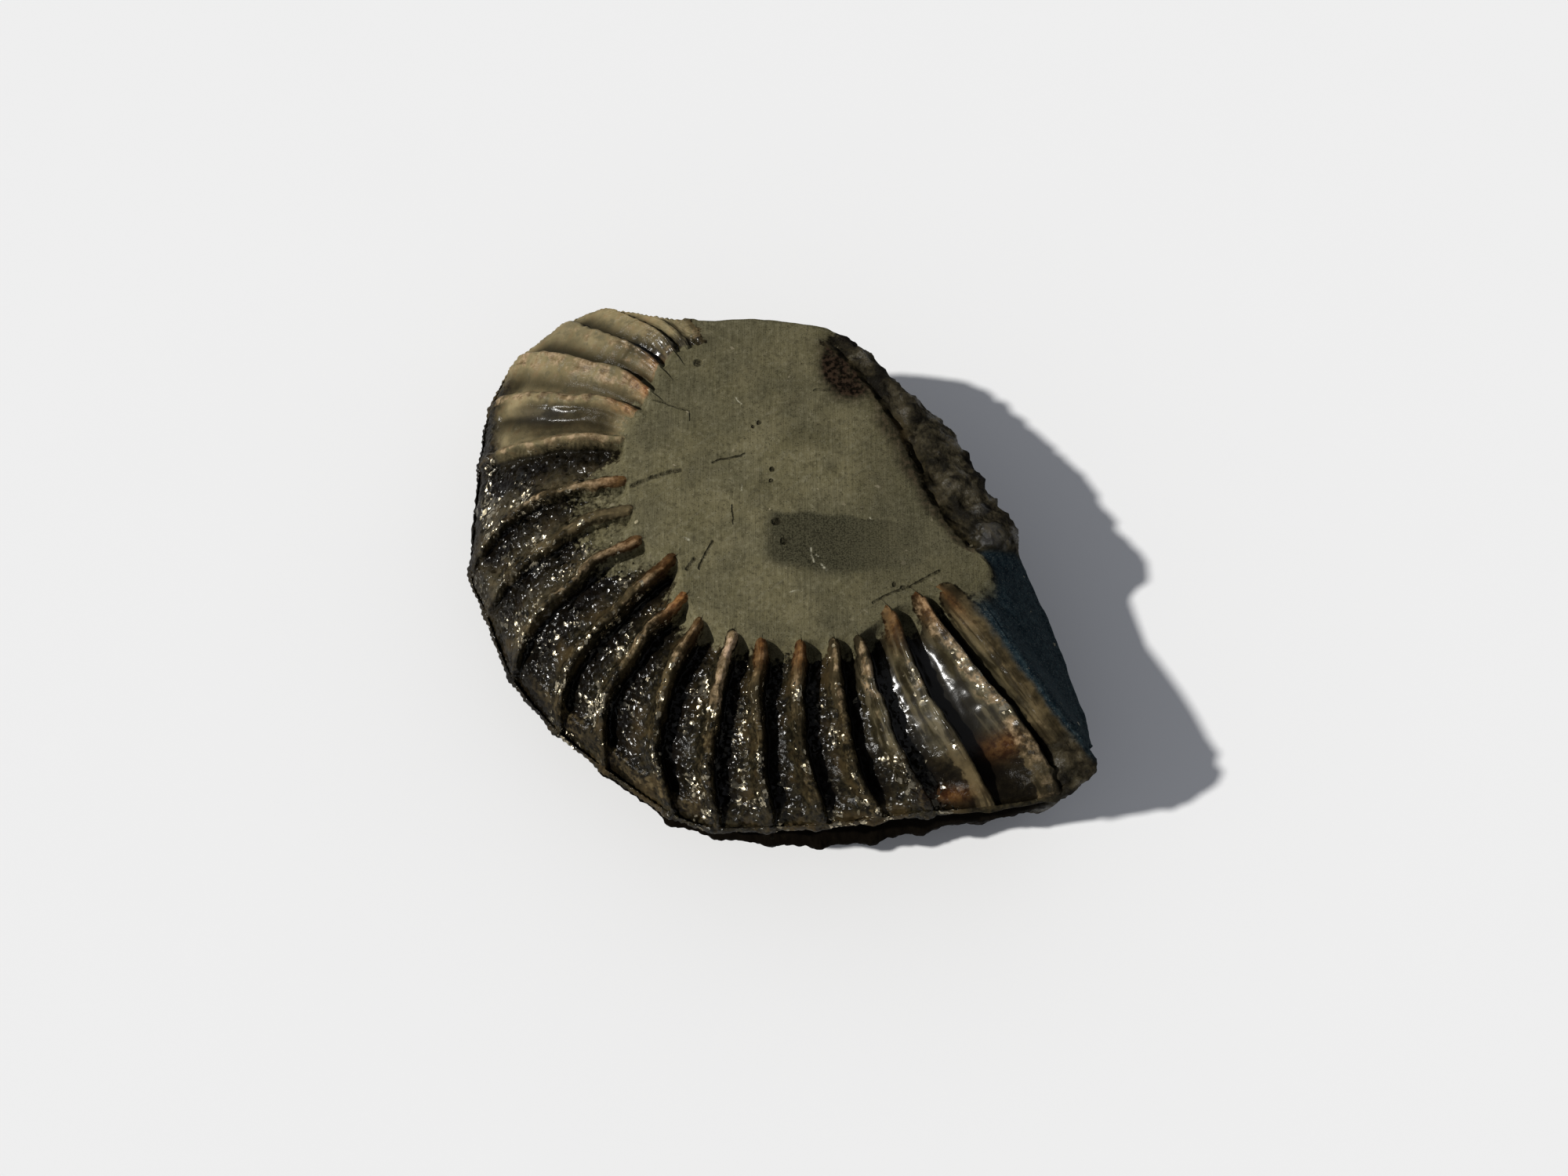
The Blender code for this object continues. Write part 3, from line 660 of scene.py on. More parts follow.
# the left rim faces the light, and is made darker by the same mask
left_rim = whorl_part(RIB.e, RIB.j) * rise(0.86, 0.96, s_all + 0.05 * wander)
deep = np.maximum(deep, 0.62 * left_rim)
deep = np.maximum(deep, 0.45 * hollow_ef)
deep = np.maximum(deep, 0.62 * glossy_part * rise(0.5, 0.85, s_all + 0.2 * wander) * on_top)
# painted shade in the shallow hollow of the face, plus a darker tone towards the right, towards the back and
# in random mottles
facet = hollow(plan_all) * (s_all < 0.001) * on_top
facet = facet * (1.0 - 0.35 * rise(8.0, 20.0, x_all))
right_side = rise(9.0, 15.0, x_all) * fall(12.0, 20.0, y_all)
facet = np.maximum(facet, 0.5 * right_side * on_top)
facet = np.maximum(facet, 0.18 * rise(12.0, 16.0, y_all) * on_top)
mottle = rise(0.0, 0.55, fractal(NET, 4.5, 51, 4) + 0.12 * (y_all > 12.0))
facet = np.maximum(facet, 0.34 * mottle * on_top)
facet[ON_BASE] = 0.0
dark_corner = np.array([11.6, 24.2])
stain = np.exp(-(np.linalg.norm((plan_all - dark_corner) * np.array([1.0, 0.75]), axis=-1) / 3.8) ** 4)
stain = 2.2 * stain * rise(-0.5, 0.1, wander + 0.35) * on_top
# the face's right shoulder, where it rolls down to the crack, is darkened too: partly stain, partly painted
# shade
to_edge = np.linalg.norm(plan_all - ROOT[None], axis=-1)
shoulder = broken_part * fall(0.2, 2.2, to_edge + 1.2 * wander) * on_top
stain = np.clip(np.maximum(stain, 0.75 * shoulder), 0.0, 1.0)

back_part = rise(BACK_STARTS - 1.0, BACK_STARTS, PLACE)[None]
past_back = 1.0 - rise(0.3, 2.2, PLACE[None] + 0.9 * wander)
mud = np.maximum(np.maximum(flat, back_part), past_back * (side_all > 0.1))
creep_reach = 0.1 + 0.22 * whorl_part(RIB.g - 0.3, RIB.i + 0.5)
creep = fall(0.5 * creep_reach, creep_reach * 1.6, s_all + 0.1 * wander) * on_top
mud = np.maximum(mud, 0.7 * creep)
blunt = whorl_part(0.0, RIB.e + 0.4) * fall(0.02, 0.07, s_all + 0.02 * wander)
mud = mud * (1.0 - rise(0.3, 0.62, crest_all) * whorl_all * (1.0 - 0.9 * blunt))
rust = np.zeros((ROWS, WIDE))
# rust on the crests near the face: the rib, how far along it, the spread and the strength
rust_spots = [(RIB.c, 0.05, 0.5, 0.5), (RIB.d, 0.06, 0.5, 0.9), (RIB.e, 0.1, 0.4, 0.6),
              (RIB.g, 0.06, 0.4, 0.5), (RIB.i, 0.08, 0.5, 0.5), (RIB.j, 0.05, 0.5, 0.4),
              (RIB.k, 0.05, 0.5, 0.85), (RIB.l, 0.05, 0.4, 0.25), (RIB.n, 0.05, 0.4, 0.5),
              (RIB.o, 0.05, 0.4, 0.55), (RIB.r, 0.04, 0.4, 0.4), (RIB.s, 0.04, 0.4, 0.5),
              (RIB.t, 0.04, 0.3, 0.35)]
for rib, at_s, spread, strength in rust_spots:
    spot = bump_at(PLACE[None], rib, spread * 0.6) * bump_at(s_all, at_s, 0.12)
    rust = np.maximum(rust, strength * spot * rise(0.1, 0.5, crest_all))
# amber in the grooves near the rim: the place, how far along, and the spread both ways
for place, at_s, spread, along in [(RIB.r + 0.62, 0.74, 0.26, 0.05), (RIB.q + 0.5, 0.92, 0.3, 0.04)]:
    spot = bump_at(PLACE[None], place, spread) * bump_at(s_all, at_s, along)
    rust = np.maximum(rust, 0.36 * spot * on_top)

# Fine relief, along the net's own normals
normals = net_normals(NET)
rough = np.zeros((ROWS, WIDE))
shell = (1.0 - flat) * whorl_all
small_grains = grains(NET, 0.62, 31)
large_grains = grains(NET, 1.5, 32)
along_rib = np.stack(np.broadcast_arrays(PLACE[None] * 4.7, s_all * 6.0, 0.0), axis=-1)
streaks = fractal(along_rib, 0.9, 46, 3)
lines = 0.5 + 0.9 * fractal(along_rib * np.array([2.6, 0.9, 1.0]), 0.9, 47, 3)
beyond_t = rise(RIB.t - 0.05, RIB.t + 0.1, PLACE)[None]
lines = lines * (1.0 - beyond_t) + beyond_t * (0.5 + 0.5 * fractal(NET, 0.8, 48, 3))
grain_relief = 0.16 * (small_grains - 0.5) + (0.24 + 0.14 * early_grains) * (large_grains - 0.5)
smooth_rim = whorl_part(RIB.e - 0.5, RIB.l) * rise(0.86, 0.97, s_all)
rough += granular * grain_relief * (1.0 - 0.6 * smooth_rim)
glinting = 0.6 + 0.4 * whorl_part(RIB.f, RIB.k + 0.5)
glinting = glinting * (1.0 - 0.5 * whorl_part(RIB.k + 0.2, RIB.l, 0.2))
glinting = glinting * (1.0 - 0.6 * smooth_rim)
sparkle = granular * rise(0.25, 0.5, small_grains) * rise(-0.08, 0.32, fractal(NET, 2.4, 45, 3))
crest_glints = np.maximum(glossy, granular_part) * rise(0.5, 0.85, crest_all) * rise(0.12, 0.3, s_all)
crest_glints = crest_glints * rise(-0.2, 0.25, fractal(NET, 1.2, 49, 2))
crest_glints = crest_glints * ((PLACE > RIB.f) & (PLACE < RIB.t - 0.4))[None]
sparkle = np.maximum(sparkle * glinting, 0.38 * crest_glints * (s_all < 0.8))
rough += 0.12 * streaks * shell * (1.0 - granular)
rough += 0.06 * fractal(NET, 2.6, 33) * shell * (1.0 - 0.9 * glossy)
rough += 0.1 * fractal(NET, 0.8, 44, 3) * skin * shell * (1.0 - 0.7 * glossy) * (1.0 - film)
rough += 0.03 * fractal(NET, 5.0, 35) * flat
ridges = 0.35 - np.abs(fractal(NET * np.array([1.0, 1.6, 1.0]), 3.4, 36, 4))
rough += broken * (1.3 * ridges + 0.35 * (grains(NET, 3.7, 37) - 0.5))
wall_side = WALL[None] * rise(0.02, 0.25, side_all) * fall(0.86, 1.0, side_all)
rough += wall_side * (0.7 * fractal(NET, 4.5, 38) + 0.2 * (grains(NET, 1.6, 39) - 0.5))
rim_weight = whorl_all * bump_at(s_all, 1.0, 0.05) * fall(0.16, 0.34, side_all)
rim_run = np.cumsum(np.linalg.norm(np.diff(TIP, axis=0, append=TIP[:1]), axis=1))[None]
teeth = np.sin(rim_run * 2.0 * np.pi / 0.85 + 1.5 * noise(NET, 3.0, 40))
toothed = 1.0 - whorl_part(RIB.m, CREST, 0.5)
rough += rim_weight * (0.08 * teeth * toothed + (0.08 + 0.14 * toothed) * fractal(NET, 1.6, 41, 3))
under_side = whorl_all * rise(0.2, 0.4, side_all) * fall(0.88, 1.0, side_all)
rough += under_side * (0.3 * fractal(NET, 1.8, 42) + 0.2 * (grains(NET, 0.9, 43) - 0.5))
NET = NET + normals * rough[..., None]
NET[ON_BASE, :, 2] = 0.0
NET[SIDE_END, :, 2] = 0.0
NET = NET + PLAN_SHIFT
low_corner = np.array(CAD_BOX[0]) / MM
high_corner = np.array(CAD_BOX[1]) / MM
NET = np.clip(NET, low_corner, high_corner)
NORMALS = net_normals(NET)


# Meshes

def make_piece(name, points, normal, faces, masks, material):
    """A mesh object from points in mm, with its shading normals and its masks."""
    mesh = bpy.data.meshes.new(name)
    mesh.from_pydata((points * MM).tolist(), [], faces)
    mesh.polygons.foreach_set("use_smooth", [True] * len(mesh.polygons))
    mesh.normals_split_custom_set_from_vertices(normal.tolist())
    for mask, values in masks.items():
        layer = mesh.attributes.new(mask, "FLOAT", "POINT")
        layer.data.foreach_set("value", values.astype(np.float32))
    mesh.materials.append(material)
    piece = bpy.data.objects.new(name, mesh)
    bpy.context.scene.collection.objects.link(piece)
    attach(piece, "root")
    return piece


MASKS = dict(mud=mud, skin=skin * whorl_all, tan=tan_all * whorl_all * on_top, deep=deep,
             grain=granular, film=film, gloss=glossy, bevel=bevel, broken=broken,
             rust=rust, facet=facet, stain=stain, sparkle=sparkle, lines=np.clip(lines, 0.0, 1.0))


def cut_piece(name, rows, start, stop, material, pole=None):
    """One stretch of the net as a piece: some rows, and the columns from start to stop."""
    first = int(np.searchsorted(PLACE, start))
    last = int(np.searchsorted(PLACE, stop))
    closed = last - first >= WIDE
    across = np.arange(first, last if closed else last + 1) % WIDE
    row_list = np.arange(rows[0], rows[1] + 1)
    pick = np.ix_(row_list, across)
    points = NET[pick].reshape(-1, 3)
    normal = NORMALS[pick].reshape(-1, 3)
    masks = {key: values[pick].reshape(-1) for key, values in MASKS.items()}
    wide = len(across)
    turns = wide if closed else wide - 1
    r, c = np.meshgrid(np.arange(len(row_list) - 1), np.arange(turns), indexing="ij")
    after = (c + 1) % wide
    quads = np.stack([r * wide + c, (r + 1) * wide + c, (r + 1) * wide + after, r * wide + after], axis=-1)
    faces = quads.reshape(-1, 4).tolist()
    if pole is not None:
        ring, middle, way = pole
        centre = len(points)
        points = np.concatenate([points, middle[None]])
        normal = np.concatenate([normal, np.array([[0.0, 0.0, way]])])
        masks = {key: np.append(values, values[ring * wide]) for key, values in masks.items()}
        for column in range(turns):
            a = ring * wide + column
            b = ring * wide + (column + 1) % wide
            faces.append([centre, a, b] if way > 0.0 else [centre, b, a])
    return make_piece(name, points, normal, faces, masks, material)


# Materials

class Nodes:
    """A short way to write a material's node tree."""

    def __init__(self, name):
        self.material = bpy.data.materials.new(name)
        self.material.use_nodes = True
        self.tree = self.material.node_tree
        self.shader = self.tree.nodes["Principled BSDF"]
        self.place = self.add("ShaderNodeTexCoord").outputs["Object"]

    def add(self, kind, inputs=None, **settings):
        """A node with its settings, and its inputs by name or number."""
        node = self.tree.nodes.new(kind)
        for key, value in settings.items():
            setattr(node, key, value)
        for key, value in (inputs or {}).items():
            self.feed(node.inputs[key], value)
        return node

    def link(self, source, target):
        self.tree.links.new(source, target)

    def feed(self, socket, value):
        """Link a socket, or set its number, its vector or its colour of three numbers."""
        if isinstance(value, bpy.types.NodeSocket):
            self.link(value, socket)
        elif socket.type == "RGBA":
            socket.default_value = (*value, 1.0)
        else:
            socket.default_value = value

    def mask(self, name):
        return self.add("ShaderNodeAttribute", attribute_name=name).outputs["Fac"]

    def math(self, operation, a, b, clamp=False):
        return self.add("ShaderNodeMath", {0: a, 1: b}, operation=operation, use_clamp=clamp).outputs[0]

    def times(self, a, b):
        return self.math("MULTIPLY", a, b)

    def most(self, *values):
        return reduce(lambda a, b: self.math("MAXIMUM", a, b), values)

    def mix(self, amount, a, b):
        """A colour from a to b. A mix node has its two colours at 6 and 7."""
        return self.add("ShaderNodeMix", {0: amount, 6: a, 7: b}, data_type="RGBA").outputs[2]

    def blend(self, amount, a, b):
        """A number from a to b. A mix node has its two numbers at 2 and 3."""
        return self.add("ShaderNodeMix", {0: amount, 2: a, 3: b}, data_type="FLOAT").outputs[0]

    def layers(self, colour, *layers):
        """A colour with others laid over it, each as much as its own ramp says."""
        for tone, *ramp in layers:
            colour = self.mix(self.ramp(*ramp), colour, tone)
        return colour

    def noise(self, scale, detail=4.0, stretch=None, roughness=0.6, slant=0.0):
        """Noise with this many features a metre, along x, y and z if stretched."""
        place = self.place
        if slant:
            turned = {"Vector": place, "Angle": slant}
            place = self.add("ShaderNodeVectorRotate", turned, rotation_type="Z_AXIS").outputs["Vector"]
        if stretch:
            place = self.add("ShaderNodeMapping", {"Vector": place, "Scale": stretch}).outputs["Vector"]
        inputs = {"Vector": place, "Scale": scale, "Detail": detail, "Roughness": roughness}
        return self.add("ShaderNodeTexNoise", inputs).outputs["Fac"]

    def vector(self, operation, a, b=(0.0, 0.0, 0.0), c=(0.0, 0.0, 0.0)):
        node = self.add("ShaderNodeVectorMath", {0: a, 1: b, 2: c}, operation=operation)
        return node.outputs["Value" if operation in ("DOT_PRODUCT", "LENGTH") else "Vector"]

    def scaled(self, vector, amount):
        node = self.add("ShaderNodeVectorMath", {0: vector, "Scale": amount}, operation="SCALE")
        return node.outputs["Vector"]

    def segment(self, place, first, second):
        """How far a place on the plan is from a line between two points given in mm."""
        a, b = ((np.array([*point, 0.0]) + PLAN_SHIFT) * MM for point in (first, second))
        length = float(np.linalg.norm(b - a))
        way = tuple((b - a) / length)
        off = self.vector("SUBTRACT", place, tuple(a))
        along = self.most(self.vector("DOT_PRODUCT", off, way), 0.0)
        along = self.math("MINIMUM", along, length)
        return self.vector("LENGTH", self.vector("SUBTRACT", off, self.scaled(way, along)))

    def cells(self, scale):
        """A random colour for each cell, with this many cells a metre."""
        return self.add("ShaderNodeTexVoronoi", {"Vector": self.place, "Scale": scale}).outputs["Color"]

    def ramp(self, value, low, high, out_low=0.0, out_high=1.0):
        inputs = {"Value": value, "From Min": low, "From Max": high, "To Min": out_low, "To Max": out_high}
        return self.add("ShaderNodeMapRange", inputs, interpolation_type="SMOOTHSTEP").outputs["Result"]

    def bump(self, height, distance, strength=1.0, before=None):
        node = self.add("ShaderNodeBump", {"Height": height, "Distance": distance, "Strength": strength})
        if before is not None:
            self.link(before, node.inputs["Normal"])
        return node.outputs["Normal"]


# Pyrite: the two sizes of crystals, its colour in the light, and its colour in painted shade where a groove
# is deep
CRYSTALS_A_METRE = (2500.0, 1450.0)
PYRITE_BRIGHT = (0.36, 0.31, 0.21)
PYRITE_PAINTED_SHADE = (0.02, 0.018, 0.013)
# The stone itself hardly shines, its wet and polished parts have a coat that does
STONE_IOR = 1.03
COAT_ROUGHNESS = 0.2
COAT_IOR = 1.7

# How far the marks on the ground face are shaken out of their straight lines, in metres
MARK_SHAKE = 0.0005
# Dark cracks: points of each line in mm, its half width and its darkness
CRACKS = [
    ([(-6.3, 9.5), (-5.4, 9.9), (-2.8, 10.4), (-2.2, 10.7)], 0.09, 0.9),
    ([(-16.9, 6.1), (-14.4, 7.2), (-12.3, 8.1), (-10.4, 8.5)], 0.22, 1.0),
    ([(-6.1, -1.6), (-6.9, -3.2), (-7.7, -5.1)], 0.14, 0.8),
    ([(-16.5, 18.8), (-13.4, 18.5), (-10.6, 17.4), (-9.4, 17.1), (-9.4, 15.8)], 0.09, 0.5),
    ([(-3.7, 3.5), (-3.5, 0.9)], 0.08, 0.7),
    ([(-8.3, -3.9), (-9.1, -5.2)], 0.2, 0.9),
    ([(13.9, -9.7), (15.9, -8.6), (18.4, -7.6), (20.4, -6.5), (22.2, -5.5)], 0.12, 0.8),
    ([(6.8, 20.2), (9.0, 20.3), (12.5, 20.4)], 0.12, 0.5),
]
# Dark pits: place and radius
PITS = [((-0.4, 15.3), 0.3), ((-1.2, 14.7), 0.25), ((1.3, 8.5), 0.35), ((1.9, 1.3), 0.6), ((2.8, -1.4), 0.45),
        ((17.6, -7.8), 0.35), ((16.5, -7.3), 0.3), ((1.2, 6.9), 0.3), ((-8.6, 24.4), 0.6)]
# Pale flecks: both ends and the half width
FLECKS = [((6.2, -2.3), (6.3, -3.1), 0.08), ((6.3, -3.4), (6.6, -4.2), 0.1),
          ((7.5, -4.6), (8.2, -5.4), 0.11), ((6.9, -3.3), (7.1, -3.4), 0.1),
          ((-9.8, -1.0), (-9.1, -1.3), 0.12), ((-2.6, 6.4), (-2.5, 5.6), 0.07),
          ((3.6, -8.4), (4.6, -8.1), 0.09), ((13.6, 1.8), (13.9, 1.5), 0.08),
          ((-3.4, 19.0), (-2.8, 18.1), 0.08)]


def stone_material(name, marked):
    n = Nodes(name)
    (mud_mask, skin_mask, tan_mask, painted_shade_and_dark_rim_mask, grain, film_mask, gloss, bevel_mask, broken_mask,
     rust_mask, hollow_shade_and_tone_mask, stain_and_shoulder_shade_mask, sparkle_mask, lines) = (n.mask(key) for key in MASKS)
    cloud = n.noise(260.0, 5.0)
    broad = n.noise(110.0, 3.0)
    fine = n.noise(1500.0, 4.0)
    speckle = n.noise(5200.0, 2.0)
    blotch = n.noise(620.0, 5.0, roughness=0.7)
    # 1 where no shade is painted, 0 where the painted shade is darkest
    outside_painted_shade = n.ramp(painted_shade_and_dark_rim_mask, 0.3, 0.75, 1.0, 0.0)

    # groove floors: near-black bronze, brown where the grains stand up
    floor_colour = n.layers(
        (0.006, 0.005, 0.003),
        ((0.030, 0.024, 0.012), fine, 0.38, 0.7),
        ((0.056, 0.038, 0.016), cloud, 0.48, 0.66, 0.0, 0.6))
    # painted shade: near black where the groove floor sinks deep
    floor_colour = n.mix(outside_painted_shade, (0.004, 0.003, 0.002), floor_colour)

    # rib crests: brown, tan where they are worn
    skin_brown = n.layers(
        (0.022, 0.017, 0.009),
        ((0.095, 0.070, 0.034), cloud, 0.35, 0.65),
        ((0.016, 0.012, 0.006), lines, 0.2, 0.55, 0.75, 0.0))
    skin_tan = n.layers(
        (0.130, 0.090, 0.044),
        ((0.310, 0.225, 0.135), fine, 0.35, 0.65),
        ((0.060, 0.040, 0.019), lines, 0.15, 0.5, 0.6, 0.0))
    worn = n.math("ADD", tan_mask, n.ramp(n.noise(520.0, 4.0), 0.32, 0.68, -0.6, 0.35))
    skin_tan = n.layers(skin_tan, ((0.46, 0.32, 0.215), worn, 1.15, 1.5, 0.0, 0.75))
    skin_colour = n.mix(n.ramp(worn, 0.35, 1.0), skin_brown, skin_tan)
    skin_sharp = n.ramp(n.math("ADD", skin_mask, n.ramp(fine, 0.3, 0.7, -0.3, 0.3)), 0.25, 0.75)
    skin_sharp = n.times(skin_sharp, n.ramp(grain, 0.2, 0.7, 1.0, 0.45))
    colour = n.mix(skin_sharp, floor_colour, skin_colour)

    # smooth clay film over the early whorl
    film_colour = n.layers(
        (0.165, 0.132, 0.066),
        ((0.270, 0.218, 0.118), cloud, 0.3, 0.7),
        ((0.220, 0.145, 0.072), blotch, 0.5, 0.66, 0.0, 0.6),
        ((0.105, 0.094, 0.056), blotch, 0.34, 0.48, 0.6, 0.0),
        ((0.080, 0.070, 0.040), broad, 0.5, 0.7, 0.0, 0.55),
        # painted shade: darker in the deep grooves and hollows
        ((0.028, 0.023, 0.012), painted_shade_and_dark_rim_mask, 0.3, 0.8))
    film_colour = n.mix(n.times(skin_mask, n.ramp(worn, 0.4, 1.0)), film_colour, skin_tan)
    colour = n.mix(n.times(film_mask, 0.93), colour, film_colour)

    # polished shell near the aperture, brown to olive
    gloss_colour = n.layers(
        (0.022, 0.018, 0.009),
        ((0.076, 0.063, 0.033), cloud, 0.4, 0.6),
        ((0.012, 0.009, 0.004), lines, 0.25, 0.5, 0.7, 0.0),
        ((0.120, 0.098, 0.056), lines, 0.62, 0.85, 0.0, 0.6))
    gloss_colour = n.mix(n.times(skin_mask, n.ramp(worn, 0.3, 0.9)), gloss_colour, skin_tan)
    # painted shade: near black low on the polished flank and in its deep grooves
    gloss_colour = n.mix(outside_painted_shade, (0.006, 0.005, 0.003), gloss_colour)
    colour = n.mix(gloss, colour, gloss_colour)
    rust_colour = n.layers((0.10, 0.030, 0.008), ((0.27, 0.12, 0.035), fine, 0.35, 0.65))
    colour = n.mix(n.times(rust_mask, n.ramp(cloud, 0.25, 0.6, 0.45, 0.9)), colour, rust_colour)

    # broken right side, dark olive brown
    broken_colour = n.layers(
        (0.008, 0.007, 0.005),
        ((0.046, 0.038, 0.022), cloud, 0.4, 0.62),
        ((0.006, 0.005, 0.004), blotch, 0.36, 0.5, 0.7, 0.0),
        ((0.010, 0.008, 0.006), fine, 0.55, 0.7, 0.0, 0.5))
    colour = n.mix(broken_mask, colour, broken_colour)

    # mudstone, ground flat: olive grey with file marks, dark spots and pale dust, with painted shade in its
    # hollow and a darker tone at the right, at the back and in mottles
    scratch_up = n.noise(520.0, 3.0, (5.0, 0.3, 1.0))
    scratch_long = n.noise(300.0, 2.0, (9.0, 0.35, 1.0))
    scratch_slant = n.noise(420.0, 3.0, (6.0, 0.5, 1.0), slant=0.9)
    mud_colour = n.layers(
        (0.100, 0.088, 0.045),
        ((0.145, 0.127, 0.070), cloud, 0.25, 0.75),
        ((0.078, 0.073, 0.046), broad, 0.4, 0.65, 0.0, 0.45),
        ((0.060, 0.053, 0.030), blotch, 0.3, 0.5, 0.5, 0.0),
        ((0.190, 0.172, 0.108), fine, 0.52, 0.66, 0.0, 0.45),
        ((0.048, 0.042, 0.023), fine, 0.34, 0.46, 0.55, 0.0))
    filed = n.ramp(broad, 0.42, 0.62, 0.0, 0.9)
    slanted = n.ramp(broad, 0.42, 0.6, 0.7, 0.0)
    light_marks = n.times(filed, n.ramp(scratch_up, 0.5, 0.7, 0.0, 0.45))
    dark_marks = n.times(filed, n.ramp(scratch_long, 0.56, 0.68, 0.0, 0.5))
    slant_marks = n.times(slanted, n.ramp(scratch_slant, 0.54, 0.72, 0.0, 0.6))
    mud_colour = n.mix(light_marks, mud_colour, (0.150, 0.134, 0.080))
    mud_colour = n.mix(dark_marks, mud_colour, (0.050, 0.044, 0.024))
    mud_colour = n.mix(slant_marks, mud_colour, (0.160, 0.146, 0.094))
    mud_colour = n.layers(
        mud_colour,
        ((0.022, 0.020, 0.012), speckle, 0.58, 0.72, 0.0, 0.8),
        ((0.26, 0.24, 0.17), n.noise(4100.0, 2.0), 0.67, 0.76, 0.0, 0.6))
    # the hollow's painted shade, and the darker tone at the right, at the back and in mottles
    hollow_shade_and_tone_colour = n.layers(
        (0.054, 0.050, 0.030),
        ((0.016, 0.015, 0.009), speckle, 0.4, 0.62),
        ((0.034, 0.032, 0.019), fine, 0.5, 0.7, 0.0, 0.5))
    mud_colour = n.mix(n.times(hollow_shade_and_tone_mask, 0.92), mud_colour, hollow_shade_and_tone_colour)
    # dark stain in the upper right corner, and stain with painted shade on the right shoulder
    stain_and_shade_colour = n.layers((0.004, 0.003, 0.002), ((0.030, 0.019, 0.012), fine, 0.42, 0.62))
    stained_and_shaded = n.times(stain_and_shoulder_shade_mask, n.ramp(cloud, 0.3, 0.48, 0.75, 1.0))
    mud_colour = n.mix(stained_and_shaded, mud_colour, stain_and_shade_colour)
    # the bevel turned away from the light: painted shade, near black and blue like the sky, with pale specks
    bevel_painted_shade = n.layers(
        (0.006, 0.012, 0.016),
        ((0.022, 0.034, 0.038), fine, 0.35, 0.7),
        ((0.075, 0.082, 0.076), speckle, 0.56, 0.7, 0.0, 0.7),
        ((0.003, 0.005, 0.007), speckle, 0.3, 0.42, 0.8, 0.0))
    dents = None
    if marked:
        dark, pale, dents = face_marks(n)
        mud_colour = n.mix(dark, mud_colour, (0.012, 0.010, 0.006))
        mud_colour = n.mix(pale, mud_colour, (0.36, 0.34, 0.25))
    mud_sharp = n.ramp(n.math("ADD", mud_mask, n.ramp(fine, 0.3, 0.7, -0.22, 0.22)), 0.3, 0.7)
    colour = n.mix(mud_sharp, colour, mud_colour)
    colour = n.mix(bevel_mask, colour, bevel_painted_shade)

    # pyrite crystals: each cell is one bright face, turned its own way
    small, large = (n.cells(scale) for scale in CRYSTALS_A_METRE)
    crystals = n.mix(n.ramp(n.noise(700.0, 2.0), 0.5, 0.52), small, large)
    crystal = n.add("ShaderNodeSeparateXYZ", {"Vector": crystals})
    bare = n.times(sparkle_mask, n.math("SUBTRACT", 1.0, mud_sharp))
    share = n.ramp(bare, 0.1, 0.6, 0.0, 0.62)
    bare = n.ramp(n.math("ADD", crystal.outputs["Z"], share), 0.995, 1.005)
    # the crystals take their painted-shade colour in the deep grooves
    colour = n.mix(bare, colour, n.mix(outside_painted_shade, PYRITE_PAINTED_SHADE, PYRITE_BRIGHT))
    n.feed(n.shader.inputs["Base Color"], colour)
    n.feed(n.shader.inputs["Metallic"], bare)

    rough = n.blend(mud_sharp, n.ramp(fine, 0.3, 0.7, 0.4, 0.6), n.ramp(fine, 0.3, 0.7, 0.75, 0.92))
    rough = n.blend(bare, rough, n.ramp(fine, 0.3, 0.7, 0.24, 0.34))
    n.feed(n.shader.inputs["Roughness"], rough)
    n.shader.inputs["IOR"].default_value = STONE_IOR
    n.shader.inputs["Coat Roughness"].default_value = COAT_ROUGHNESS
    n.shader.inputs["Coat IOR"].default_value = COAT_IOR
    wet_rock = n.times(broken_mask, n.ramp(cloud, 0.52, 0.68, 0.02, 0.5))
    wet = n.most(n.times(grain, 0.2), n.times(gloss, 0.45), n.times(film_mask, 0.04), wet_rock)
    wet = n.times(wet, n.ramp(mud_sharp, 0.2, 0.8, 1.0, 0.1))
    wet = n.times(wet, n.ramp(bevel_mask, 0.2, 0.8, 1.0, 0.0))
    n.feed(n.shader.inputs["Coat Weight"], wet)

    still = n.math("SUBTRACT", 1.0, n.most(grain, gloss), True)
    normal = n.bump(fine, 0.00016, n.blend(still, 0.15, 0.6))
    lumpy = n.noise(800.0, 5.0, roughness=0.7)
    normal = n.bump(lumpy, 0.0006, n.times(broken_mask, 0.8), normal)
    normal = n.bump(speckle, 0.00006, n.blend(still, 0.1, 0.5), normal)
    marks = n.math("SUBTRACT", scratch_up, scratch_long)
    normal = n.bump(n.times(marks, mud_sharp), 0.00012, 0.6, normal)
    if dents is not None:
        normal = n.bump(dents, 0.0005, 1.0, normal)
    turned = n.most(n.times(bare, 1.15), n.times(grain, 0.8))
    turned = n.scaled(n.vector("SUBTRACT", crystals, (0.5, 0.5, 0.5)), turned)
    normal = n.vector("NORMALIZE", n.vector("ADD", normal, turned))
    n.link(normal, n.shader.inputs["Normal"])
    n.link(normal, n.shader.inputs["Coat Normal"])
    return n.material


